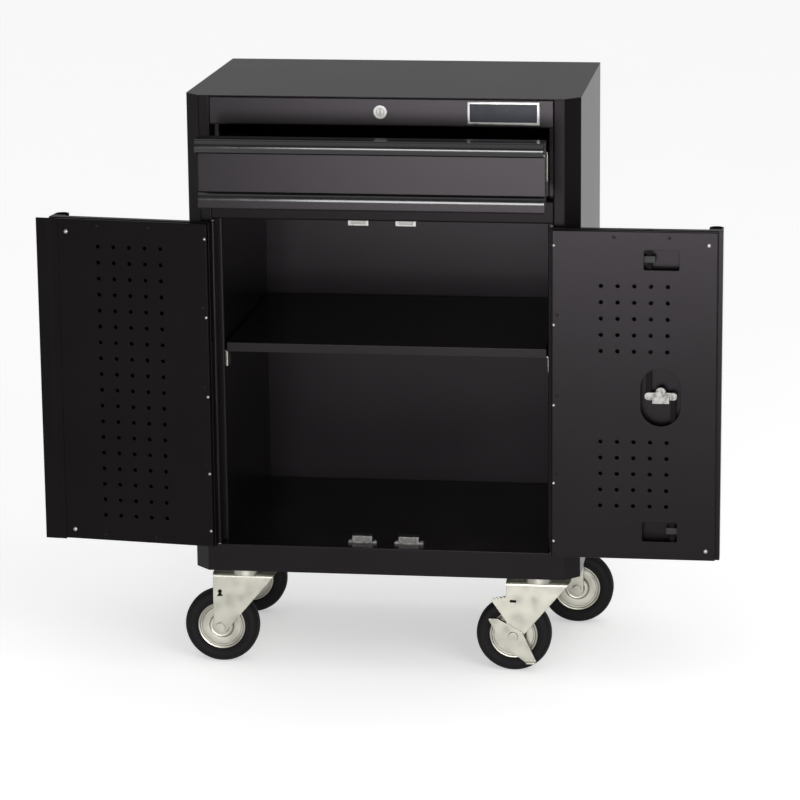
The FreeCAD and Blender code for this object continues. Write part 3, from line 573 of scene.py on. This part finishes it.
def spread(model, name, places):
    """Copies one model to its places, each with its own mesh, and joins the copies."""
    bpy.ops.object.select_all(action="DESELECT")
    copies = []
    for place in places:
        copy = model.copy()
        copy.data = model.data.copy()
        bpy.context.scene.collection.objects.link(copy)
        copy.matrix_world = place
        copy.select_set(True)
        copies.append(copy)
    bpy.context.view_layer.objects.active = copies[0]
    bpy.ops.object.join()
    piece = bpy.context.object
    piece.name = name
    piece.data.name = name
    settle(piece)
    return piece


def drop(model):
    """Removes a model after its copies are made."""
    mesh = model.data
    bpy.data.objects.remove(model)
    bpy.data.meshes.remove(mesh)


def domed_head(name, radius, height, sides=16):
    """A rivet head: a short collar and a dome in three steps, standing on the origin."""
    collar = 0.35
    model = add_cylinder(name, sides, radius, 0, height * collar)
    edit(model)
    pick_faces(model, faces_up)
    for step in DOME_STEPS:
        rise = {"value": (0, 0, height * step["rise"])}
        bpy.ops.mesh.extrude_region_move(TRANSFORM_OT_translate=rise)
        bpy.ops.transform.resize(
            value=(step["taper"], step["taper"], 1), center_override=(0, 0, height * step["level"]))
    close_edit()
    return model


def hex_head(name, radius, height):
    """A hexagon bolt head on its washer, standing on the origin."""
    washer, head_share, crown = 0.25, 0.7, 0.05
    washer_reach, washer_sides, chamfer = 1.3, 24, 0.14
    model = add_cylinder(name, washer_sides, radius * washer_reach, 0, height * washer)
    head = add_cylinder(name + "_head", 6, radius, height * washer, height * head_share)
    edit(head)
    pick_faces(head, faces_up)
    bpy.ops.mesh.inset(thickness=radius * chamfer)
    bpy.ops.transform.translate(value=(0, 0, height * crown))
    close_edit()
    model.select_set(True)
    bpy.context.view_layer.objects.active = model
    bpy.ops.object.join()
    return model


def trace(name, outline):
    """Draws a closed outline on the XY plane, point by point, and leaves it open in edit mode."""
    piece = add_primitive(name, bpy.ops.mesh.primitive_plane_add, size=0.002, location=(0, 0, 0))
    edit(piece)
    mesh = bmesh.from_edit_mesh(piece.data)
    mesh.verts.ensure_lookup_table()
    for vert in mesh.verts[1:]:
        vert.select_set(True)
    bmesh.update_edit_mesh(piece.data)
    bpy.ops.mesh.delete(type="VERT")
    bpy.ops.mesh.select_mode(type="VERT")
    mesh = bmesh.from_edit_mesh(piece.data)
    mesh.verts.ensure_lookup_table()
    first = outline[0]
    mesh.verts[0].co = Vector((*first, 0))
    mesh.verts[0].select_set(True)
    bmesh.update_edit_mesh(piece.data)
    here = first
    for there in outline[1:] + [first]:
        step = (there[0] - here[0], there[1] - here[1], 0)
        bpy.ops.mesh.extrude_region_move(TRANSFORM_OT_translate={"value": step})
        here = there
    bpy.ops.mesh.select_all(action="SELECT")
    bpy.ops.mesh.remove_doubles(threshold=SAME_POINT)
    return piece


def close_body(piece, place):
    """Turns the faces of a traced body outwards, closes it and puts it in its place."""
    bpy.ops.mesh.select_all(action="SELECT")
    bpy.ops.mesh.normals_make_consistent(inside=False)
    close_edit()
    piece.matrix_world = place
    settle(piece, SHARP_ON_ROLLS)
    return piece


def ring_body(name, side, centre, steps=72):
    """A body of revolution about the Y axis, alike on both sides, spun from one side's outline."""
    outline = side + [(radius, -along) for radius, along in reversed(side)]
    piece = trace(name, outline)
    bpy.ops.mesh.spin(steps=steps, angle=math.tau, center=(0, 0, 0), axis=(0, 1, 0))
    bpy.ops.mesh.select_all(action="SELECT")
    bpy.ops.mesh.remove_doubles(threshold=2 * SAME_POINT)
    return close_body(piece, Matrix.Translation(centre))


def long_bar(name, outline, length, place):
    """A straight bar of one section, filled, extruded along its own Z and put in its place."""
    piece = trace(name, outline)
    bpy.ops.mesh.edge_face_add()
    bpy.ops.mesh.extrude_region_move(TRANSFORM_OT_translate={"value": (0, 0, length)})
    return close_body(piece, place)


def axes_at(origin, x, y, z):
    """A placement whose local axes point the given ways."""
    turn = Matrix((x, y, z)).transposed().to_4x4()
    return Matrix.Translation(origin) @ turn


def turned_at(x, y, z, turn):
    """A placement at a point with the given turn."""
    return Matrix.Translation(Vector((x, y, z))) @ turn


def half_size(name):
    """Half the size of a node's box along each axis."""
    low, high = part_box(name)
    return [(b - a) / 2 for a, b in zip(low, high)]


def middle(name):
    """Middle of a node's box."""
    low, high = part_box(name)
    return (low + high) / 2


def arc(centre, radius, start, end, steps):
    """Points along an arc, angles in degrees."""
    angles = [math.radians(start + (end - start) * step / steps) for step in range(steps + 1)]
    return [(centre[0] + radius * math.cos(a), centre[1] + radius * math.sin(a)) for a in angles]


def pull_section(reach, height):
    """Section of a pull: mounting strip, level shelf and a rolled nose, outwards and upwards."""
    wall = 0.0024
    steps = 20
    radius = height / 2
    nose = (radius - reach, -radius)
    outside = [(0, -height), (0, 0)] + arc(nose, radius, 90, 270, steps)
    inside = arc(nose, radius - wall, 270, 90, steps) + [(-wall, -wall), (-wall, -height)]
    return outside + inside


def hinge_point(side):
    """Hinge axis of a door on the floor plane."""
    where = JOINTS[side + "_door_hinge"]["pos_m"]
    return Vector((where[0], where[1], 0))


def door_turn(side):
    """Turn of a door past flat open, about its hinge."""
    limits = JOINTS["left_door_hinge"]["range_deg"]
    past = math.radians(limits[1] - 180.0) if side == "left" else 0.0
    axis = hinge_point(side)
    return Matrix.Translation(axis) @ Matrix.Rotation(-past, 4, "Z") @ Matrix.Translation(-axis)


def on_liner(side, along, z):
    """Place on a door's liner face, a distance along the door from its hinge."""
    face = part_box("right_door_liner")[0].y
    hand = 1 if side == "right" else -1
    return door_turn(side) @ turned_at(hinge_point(side).x + hand * along, face, z, FRONT_TURN)


def liner_levels():
    """Lowest and highest point of the liners."""
    low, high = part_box("right_door_liner")
    return low.z, high.z


def liner_reach():
    """Distance of a liner's free edge from the hinge."""
    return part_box("right_door_liner")[1].x - hinge_point("right").x


class CABINET_OT_painted_sheet(bpy.types.Operator):
    """Black finish on the carcass, shelf, drawer, doors, hinges and lock rods"""

    bl_idname = "cabinet.painted_sheet"
    bl_label = "Painted sheet"
    coats = {
        "paint": (
            "left_inner_wall", "right_inner_wall", "back_panel", "top_panel", "floor_tray", "shelf",
            "left_door_skin", "right_door_skin", "right_door_liner",
            "hinge_frame_leaves", "left_hinge_door_leaf", "right_hinge_door_leaf"),
        # Painted shade: the duller copy of the paint darkens the side panels, posts, middle rail
        # and left door
        "frame_paint": (
            "left_side_panel", "right_side_panel", "middle_rail",
            "left_door_liner", "left_door_strip"),
        # Painted light: the fascia and drawer front take the shinier copy of the paint, so they
        # render brighter
        "front_paint": ("top_fascia", "drawer_front"),
        # Painted light: the drawer box takes the lightened copy of the paint
        "lit_inner_paint": ("drawer_box",),
        # Painted shade: the lock rods take a dull copy of the paint, so they stay dark behind the
        # door's holes
        "rod_black": ("upper_lock_rod", "lower_lock_rod"),
    }

    def execute(self, context):
        for key, names in self.coats.items():
            coat(key, names)
        return {"FINISHED"}


class CABINET_OT_pulls(bpy.types.Operator):
    """Gloss black pulls with a rolled nose, along the drawer and up both doors"""

    bl_idname = "cabinet.pulls"
    bl_label = "Pulls"

    def execute(self, context):
        low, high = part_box("drawer_pull")
        section = pull_section(high.y - low.y, high.z - low.z)
        place = axes_at((low.x, high.y, high.z), (0, 1, 0), (0, 0, 1), (1, 0, 0))
        self.roll("drawer", section, high.x - low.x, place)
        low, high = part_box("right_door_pull")
        place = axes_at((high.x, low.y, low.z), (0, -1, 0), (1, 0, 0), (0, 0, 1))
        self.roll("right_door", section, high.z - low.z, place)
        flat = axes_at((-high.x, low.y, high.z), (0, -1, 0), (-1, 0, 0), (0, 0, -1))
        self.roll("left_door", section, high.z - low.z, door_turn("left") @ flat)
        return {"FINISHED"}

    def roll(self, body, section, length, place):
        """One pull in the place of its node."""
        piece = long_bar(body + "_rolled_pull", section, length, place)
        dress(piece, finish("gloss"), body)
        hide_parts(body + "_pull")


class CABINET_OT_drawer_bead(bpy.types.Operator):
    """Rounded fold where the foot of the drawer face steps forward, in the pulls' gloss instead of
    the drawer paint for a painted highlight along it
    """

    bl_idname = "cabinet.drawer_bead"
    bl_label = "Drawer bead"
    over_foot = 0.0108
    brow_radius = 0.022
    brow_turn = 16.0
    front_depth = 0.0008
    root_depth = 0.0004
    root_drop = 0.004
    end_gap = 0.0005

    def execute(self, context):
        low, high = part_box("drawer_front")
        trim = context.scene.cabinet_trim
        face = low.y + trim.foot_reach
        top = low.z + trim.foot_height + self.over_foot
        lean = math.radians(self.brow_turn)
        radius = (trim.foot_reach - self.brow_radius * (1 - math.cos(lean))) / math.cos(lean)
        fold = arc((face, top - radius), radius, 90, 180 - self.brow_turn, 12)
        y, z = fold[-1]
        brow = (y + self.brow_radius * math.cos(lean), z - self.brow_radius * math.sin(lean))
        outline = fold + arc(brow, self.brow_radius, 180 - self.brow_turn, 180, 6)[1:]
        outline += [
            (low.y + self.front_depth, outline[-1][1]),
            (face + self.root_depth, top - self.root_drop),
        ]
        length = high.x - low.x - 2 * self.end_gap
        place = axes_at((low.x + self.end_gap, 0, 0), (0, 1, 0), (0, 0, 1), (1, 0, 0))
        piece = long_bar("drawer_bead", outline, length, place)
        # Painted highlight: the fold takes the pulls' gloss rather than the drawer's paint, so a
        # bright line shows along it
        dress(piece, finish("gloss"), "drawer")
        return {"FINISHED"}


class CABINET_OT_plated_parts(bpy.types.Operator):
    """Zinc on the casters, slides and clips, bright plate on locks and catches, plastic guides"""

    bl_idname = "cabinet.plated_parts"
    bl_label = "Plated parts"
    coats = {
        "zinc": (
            "caster_channels", "caster_plates", "shelf_clips", "hinge_pins",
            "front_right_brake_lever", "rear_right_brake_lever"),
        "slide_zinc": ("slide_rails", "slide_middles", "drawer_runners"),
        "lock_steel": (
            "drawer_lock_barrel", "drawer_lock_cam", "door_lock_barrel", "door_lock_cam"),
        # Painted shade: the plugs take the darker copy of the lock plate, for the shaded centre of
        # each lock
        "lock_face": ("drawer_lock_plug", "door_lock_plug"),
        "catch_steel": ("catch_housings",),
        "magnet": ("catch_magnets",),
        "plastic": ("rod_guides",),
    }

    def execute(self, context):
        for key, names in self.coats.items():
            coat(key, names)
        for corner in CORNERS:
            coat("zinc", (corner + "_fork", corner + "_axle"))
        return {"FINISHED"}


class CABINET_OT_tyres(bpy.types.Operator):
    """Solid rubber tyres with rounded shoulders, a bead at the rim and two fine tread grooves"""

    bl_idname = "cabinet.tyres"
    bl_label = "Tyres"
    # Sections as distances out from the bore or in from the tread, with shares of the half width
    bead = (
        (0.0, 0.78), (0.0012, 0.92), (0.0030, 0.97), (0.0044, 0.93), (0.0058, 0.985),
        (0.0100, 1.0))
    shoulder = (
        (0.0082, 1.0), (0.0066, 0.965), (0.0050, 0.93), (0.0030, 0.83), (0.0014, 0.68),
        (0.0004, 0.5))
    tread = ((0.0, 0.36), (0.0, 0.22), (0.0011, 0.19), (0.0011, 0.12), (0.0, 0.09))

    def execute(self, context):
        for corner in CORNERS:
            width, radius = half_size(corner + "_tyre")[1:]
            bore = half_size(corner + "_rim")[2]
            side = [(bore + out, width * share) for out, share in self.bead]
            side += [(radius - down, width * share) for down, share in self.shoulder + self.tread]
            tyre = ring_body(corner + "_rubber_tyre", side, middle(corner + "_tyre"))
            dress(tyre, finish("rubber"), corner + "_wheel")
            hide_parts(corner + "_tyre")
        return {"FINISHED"}


class CABINET_OT_wheel_discs(bpy.types.Operator):
    """Pressed zinc wheel discs with a rolled rim, a shallow dish and a raised hub"""

    bl_idname = "cabinet.wheel_discs"
    bl_label = "Wheel discs"
    lip_share = 0.86
    # Sections as radii with depths below the hub's face or below the lip
    hub = ((0.0051, 0.0), (0.0098, 0.0), (0.0108, 0.0008))
    dish = (
        (0.0116, 0.0012), (0.0128, 0.0026), (0.0165, 0.0031), (0.0190, 0.0026), (0.0205, 0.0014),
        (0.0260, 0.0010), (0.0310, 0.0011), (0.0326, 0.0022), (0.0342, 0.0021), (0.0354, 0.0006))
    # Section of the rolled rim, as distances in from the edge with depths below the lip
    roll = ((0.0016, 0.0), (0.0005, 0.0005), (0.0, 0.0016))

    def execute(self, context):
        for corner in CORNERS:
            face, edge = half_size(corner + "_rim")[1:]
            lip = half_size(corner + "_tyre")[1] * self.lip_share
            side = [(radius, face - depth) for radius, depth in self.hub]
            side += [(radius, lip - depth) for radius, depth in self.dish]
            side += [(edge - inset, lip - depth) for inset, depth in self.roll]
            disc = ring_body(corner + "_wheel_disc", side, middle(corner + "_rim"))
            dress(disc, finish("zinc"), corner + "_wheel")
            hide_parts(corner + "_rim")
        return {"FINISHED"}


class CABINET_OT_fascia_plate(bpy.types.Operator):
    """Bare plate on the fascia: a bright raised rim round a dark field"""

    bl_idname = "cabinet.fascia_plate"
    bl_label = "Fascia plate"
    thickness = 0.0022
    from_end = 0.020
    rise = 0.0005
    edge_round = 0.0006
    rim_slope = 0.0003
    field_depth = 0.0008

    def execute(self, context):
        trim = context.scene.cabinet_trim
        low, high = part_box("top_fascia")
        plate = add_primitive(
            "fascia_plate", bpy.ops.mesh.primitive_cube_add, size=1, location=(0, 0, 0))
        plate.scale = (trim.plate_width, self.thickness, trim.plate_height)
        bpy.ops.object.transform_apply(scale=True)
        plate.data.materials.append(finish("nickel"))
        plate.data.materials.append(finish("field"))
        edit(plate)
        pick_edges(plate, lambda at: at.y < 0)
        bpy.ops.mesh.bevel(offset=self.edge_round, segments=2)
        pick_faces(plate, lambda normal: normal.y < -0.95)
        bpy.ops.mesh.inset(thickness=trim.plate_rim)
        bpy.ops.mesh.inset(thickness=self.rim_slope)
        bpy.ops.transform.translate(value=(0, self.field_depth, 0))
        plate.active_material_index = 1
        bpy.ops.object.material_slot_assign()
        close_edit()
        plate.location = (
            high.x - self.from_end - trim.plate_width / 2,
            low.y - self.thickness / 2,
            (low.z + high.z) / 2 + self.rise,
        )
        settle(plate)
        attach(plate, "cabinet")
        return {"FINISHED"}


class CABINET_OT_liner_rivets(bpy.types.Operator):
    """Bright rivets at the free corners of both liners"""

    bl_idname = "cabinet.liner_rivets"
    bl_label = "Liner rivets"
    from_free_edge = {"left": 0.024, "right": 0.014}
    over_foot = 0.0155
    under_head = 0.0195
    flatness = 0.7

    def execute(self, context):
        radius = context.scene.cabinet_trim.rivet_radius
        low, high = liner_levels()
        model = domed_head("liner_rivet", radius, radius * self.flatness)
        for side in SIDES:
            along = liner_reach() - self.from_free_edge[side]
            levels = (low + self.over_foot, high - self.under_head)
            places = [on_liner(side, along, z) for z in levels]
            piece = spread(model, side + "_liner_rivets", places)
            dress(piece, finish("nickel"), side + "_door")
        drop(model)
        return {"FINISHED"}


class CABINET_OT_hinge_rivets(bpy.types.Operator):
    """Rivets down the continuous hinges, on the post leaves and the door edges"""

    bl_idname = "cabinet.hinge_rivets"
    bl_label = "Hinge rivets"
    level_shares = (0.05, 0.23, 0.47, 0.715, 0.955)
    from_hinge = 0.0052
    from_leaf_edge = 0.006
    flatness = 0.75
    # Height of the rivets that a closed door stands against
    closed_gap = 0.0003

    def execute(self, context):
        radius = context.scene.cabinet_trim.hinge_rivet_radius
        low, high = liner_levels()
        levels = [low + (high - low) * share for share in self.level_shares]
        model = domed_head("hinge_rivet", radius, radius * self.flatness)
        for side in SIDES:
            places = [on_liner(side, self.from_hinge, z) for z in levels]
            piece = spread(model, side + "_hinge_rivets", places)
            dress(piece, finish("nickel"), side + "_door")
        flush = domed_head("flush_rivet", radius, self.closed_gap)
        leaf_low, leaf_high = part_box("hinge_frame_leaves")
        inset = self.leaf_inset()
        y = leaf_high.y - self.from_leaf_edge
        for side, x, hand in (("left", leaf_low.x + inset, 1), ("right", leaf_high.x - inset, -1)):
            turn = Matrix.Rotation(hand * math.pi / 2, 4, "Y")
            piece = spread(flush, side + "_post_rivets", [turned_at(x, y, z, turn) for z in levels])
            dress(piece, finish("nickel"), "cabinet")
        drop(model)
        drop(flush)
        return {"FINISHED"}

    def leaf_inset(self):
        """How far the leaf's inner face stands in from the node's outermost face."""
        low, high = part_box("hinge_frame_leaves")
        points = [vert.co for vert in frame["nodes"]["hinge_frame_leaves"].data.vertices]
        at_edge = [point.x for point in points if point.x < 0 and point.y > high.y - 0.001]
        return max(at_edge) - low.x


class CABINET_OT_weld_marks(bpy.types.Operator):
    """Spot-weld marks that show through the paint of both liners"""

    bl_idname = "cabinet.weld_marks"
    bl_label = "Weld marks"
    level_shares = (0.26, 0.5, 0.745)
    along_shares = (0.38, 0.71)
    from_hinge = 0.0105
    from_edge = 0.009
    flatness = 0.16

    def execute(self, context):
        radius = context.scene.cabinet_trim.weld_radius
        low, high = liner_levels()
        reach = liner_reach()
        spots = [(self.from_hinge, low + (high - low) * share) for share in self.level_shares]
        for z in (high - self.from_edge, low + self.from_edge):
            spots += [(reach * share, z) for share in self.along_shares]
        model = domed_head("weld_mark", radius, radius * self.flatness, sides=12)
        for side in SIDES:
            places = [on_liner(side, along, z) for along, z in spots]
            piece = spread(model, side + "_weld_marks", places)
            dress(piece, finish("paint"), side + "_door")
        drop(model)
        return {"FINISHED"}


class CABINET_OT_back_rivets(bpy.types.Operator):
    """Painted rivets round the edge of the back panel"""

    bl_idname = "cabinet.back_rivets"
    bl_label = "Back rivets"
    radius = 0.0032
    height = 0.0012
    from_side = 0.010
    from_end = 0.012
    row_margin = 0.02
    gaps_up = 5
    gaps_across = 4

    def execute(self, context):
        low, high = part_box("back_panel")
        model = domed_head("back_rivet", self.radius, self.height, sides=12)
        spots = []
        run = high.z - low.z - 2 * self.row_margin
        for step in range(self.gaps_up + 1):
            z = low.z + self.row_margin + run * step / self.gaps_up
            spots += [(low.x + self.from_side, z), (high.x - self.from_side, z)]
        for step in range(1, self.gaps_across):
            x = low.x + (high.x - low.x) * step / self.gaps_across
            spots += [(x, low.z + self.from_end), (x, high.z - self.from_end)]
        places = [turned_at(x, high.y, z, BACK_TURN) for x, z in spots]
        piece = spread(model, "back_rivets", places)
        dress(piece, finish("paint"), "cabinet")
        drop(model)
        return {"FINISHED"}


class CABINET_OT_caster_bolts(bpy.types.Operator):
    """Hexagon bolts that hold the caster plates to the base"""

    bl_idname = "cabinet.caster_bolts"
    bl_label = "Caster bolts"
    head_height = 0.0056
    plate_thickness = 0.003
    half_pitch = (0.038, 0.030)

    def execute(self, context):
        model = hex_head("caster_bolt", context.scene.cabinet_trim.bolt_radius, self.head_height)
        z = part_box("caster_plates")[1].z - self.plate_thickness
        across, deep = self.half_pitch
        for corner in CORNERS:
            swivel = JOINTS[corner + "_swivel"]["pos_m"]
            places = [
                turned_at(swivel[0] + x, swivel[1] + y, z, UNDER_TURN)
                for x in (-across, across) for y in (-deep, deep)]
            piece = spread(model, corner + "_caster_bolts", places)
            dress(piece, finish("zinc"), "cabinet")
        drop(model)
        return {"FINISHED"}


class CABINET_OT_catch_screws(bpy.types.Operator):
    """Small screws in the ears of the door catches"""

    bl_idname = "cabinet.catch_screws"
    bl_label = "Catch screws"
    radius = 0.0028
    height = 0.0016
    catches_x = (-0.040, 0.034)
    half_pitch = 0.0195
    ear_thickness = 0.003

    def execute(self, context):
        low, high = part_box("catch_housings")
        model = domed_head("catch_screw", self.radius, self.height, sides=12)
        y = (low.y + high.y) / 2
        places = []
        for catch in self.catches_x:
            for x in (catch - self.half_pitch, catch + self.half_pitch):
                places.append(Matrix.Translation(Vector((x, y, low.z + self.ear_thickness))))
                places.append(turned_at(x, y, high.z - self.ear_thickness, UNDER_TURN))
        piece = spread(model, "catch_screws", places)
        dress(piece, finish("nickel"), "cabinet")
        drop(model)
        return {"FINISHED"}


class CABINET_OT_stage(bpy.types.Operator):
    """Pale floor, soft lamps and the camera"""

    bl_idname = "cabinet.stage"
    bl_label = "Stage"
    floor_size = 240
    sun_strength = 0.7
    sun_spread = 70
    camera_place = (0.69485, -5.0, 1.65084)
    camera_turn = 0.1205
    camera_tilt = 0.2172
    camera_roll = -0.006
    camera_shift = (-0.07, -0.10)

    def execute(self, context):
        stage = context.scene.cabinet_stage
        self.lay_floor(stage)
        self.hang_lamps(stage)
        self.set_camera(stage)
        context.scene.view_settings.view_transform = "Standard"
        return {"FINISHED"}

    def lay_floor(self, stage):
        """A wide floor with faint unevenness, lifted a little where it is seen."""
        floor = add_primitive(
            "studio_floor", bpy.ops.mesh.primitive_plane_add, size=self.floor_size,
            location=(0, 0, 0))
        material, tree, inputs = new_material("studio_floor")
        tone = noise(tree, object_place(tree), scale=3.0, detail=3.0)
        uneven = shade(tree, tone, stage.floor, dark=0.985, light=1.01)
        put(tree, uneven, inputs["Base Color"])
        inputs["Roughness"].default_value = 0.75
        inputs["Specular IOR Level"].default_value = 0.2
        path = tree.nodes.new("ShaderNodeLightPath").outputs
        seen = combine(tree, "MAXIMUM", path["Is Camera Ray"], path["Is Glossy Ray"])
        seen = combine(tree, "MAXIMUM", seen, path["Is Transmission Ray"])
        inputs["Emission Color"].default_value = (1, 1, 1, 1)
        put(tree, between(tree, seen, 0.0, stage.glow), inputs["Emission Strength"])
        floor.data.materials.append(material)

    def hang_lamps(self, stage):
        """An even room, overhead light through diffusers and two softboxes in front."""
        world = bpy.data.worlds.new("studio_room")
        bpy.context.scene.world = world
        world.use_nodes = True
        room = world.node_tree.nodes["Background"].inputs
        room["Color"].default_value = (1, 1, 1, 1)
        room["Strength"].default_value = stage.sky
        sun = self.lamp("overhead", "SUN", self.sun_strength, (0.6, -1.0, 4.0), (0.0, 0.1, 0.4))
        sun.angle = math.radians(self.sun_spread)
        self.softbox(
            "right_softbox", stage.key_power, (2.6, -3.6, 2.6), (0.1, -0.2, 0.7), (2.4, 1.7))
        self.softbox(
            "front_softbox", stage.front_power, (0.28, -4.4, 0.62), (0.28, -0.2, 1.6), (2.2, 1.2))

    def softbox(self, name, power, place, target, size):
        """One rectangular lamp aimed at a point."""
        data = self.lamp(name, "AREA", power, place, target)
        data.shape = "RECTANGLE"
        data.size, data.size_y = size

    def lamp(self, name, kind, power, place, target):
        """One lamp aimed at a point."""
        data = bpy.data.lights.new(name, kind)
        data.energy = power
        lamp = bpy.data.objects.new(name, data)
        bpy.context.scene.collection.objects.link(lamp)
        lamp.location = place
        lamp.rotation_mode = "QUATERNION"
        lamp.rotation_quaternion = (Vector(target) - Vector(place)).to_track_quat("-Z", "Y")
        return data

    def set_camera(self, stage):
        """Camera at the right of the middle, above the top, looking a little down and left."""
        data = bpy.data.cameras.new("camera")
        data.lens = stage.lens
        data.shift_x, data.shift_y = self.camera_shift
        camera = bpy.data.objects.new("camera", data)
        bpy.context.scene.collection.objects.link(camera)
        turn = Matrix.Rotation(self.camera_turn, 4, "Z")
        tilt = Matrix.Rotation(math.pi / 2 - self.camera_tilt, 4, "X")
        roll = Matrix.Rotation(self.camera_roll, 4, "Z")
        camera.matrix_world = turned_at(*self.camera_place, turn @ tilt @ roll)
        bpy.context.scene.camera = camera


class CABINET_PT_panel(bpy.types.Panel):
    """Finishes, trim and stage of the cabinet"""

    bl_label = "Cabinet"
    bl_space_type = "VIEW_3D"
    bl_region_type = "UI"
    bl_category = "Cabinet"

    def draw(self, context):
        layout = self.layout
        scene = context.scene
        for group in (scene.cabinet_finish, scene.cabinet_trim, scene.cabinet_stage):
            column = layout.column()
            for name in group.__annotations__:
                column.prop(group, name)
        for step in STEPS:
            layout.operator(step.bl_idname)


STEPS = (
    CABINET_OT_painted_sheet,
    CABINET_OT_pulls,
    CABINET_OT_drawer_bead,
    CABINET_OT_plated_parts,
    CABINET_OT_tyres,
    CABINET_OT_wheel_discs,
    CABINET_OT_fascia_plate,
    CABINET_OT_liner_rivets,
    CABINET_OT_hinge_rivets,
    CABINET_OT_weld_marks,
    CABINET_OT_back_rivets,
    CABINET_OT_caster_bolts,
    CABINET_OT_catch_screws,
    CABINET_OT_stage,
)
CLASSES = (CabinetFinish, CabinetTrim, CabinetStage) + STEPS + (CABINET_PT_panel,)


def register():
    for kind in CLASSES:
        bpy.utils.register_class(kind)
    bpy.types.Scene.cabinet_finish = PointerProperty(type=CabinetFinish)
    bpy.types.Scene.cabinet_trim = PointerProperty(type=CabinetTrim)
    bpy.types.Scene.cabinet_stage = PointerProperty(type=CabinetStage)


def unregister():
    del bpy.types.Scene.cabinet_stage
    del bpy.types.Scene.cabinet_trim
    del bpy.types.Scene.cabinet_finish
    for kind in reversed(CLASSES):
        bpy.utils.unregister_class(kind)


def main():
    register()
    bpy.ops.cabinet.painted_sheet()
    bpy.ops.cabinet.pulls()
    bpy.ops.cabinet.drawer_bead()
    bpy.ops.cabinet.plated_parts()
    bpy.ops.cabinet.tyres()
    bpy.ops.cabinet.wheel_discs()
    bpy.ops.cabinet.fascia_plate()
    bpy.ops.cabinet.liner_rivets()
    bpy.ops.cabinet.hinge_rivets()
    bpy.ops.cabinet.weld_marks()
    bpy.ops.cabinet.back_rivets()
    bpy.ops.cabinet.caster_bolts()
    bpy.ops.cabinet.catch_screws()
    bpy.ops.cabinet.stage()


if __name__ == "__main__":
    main()
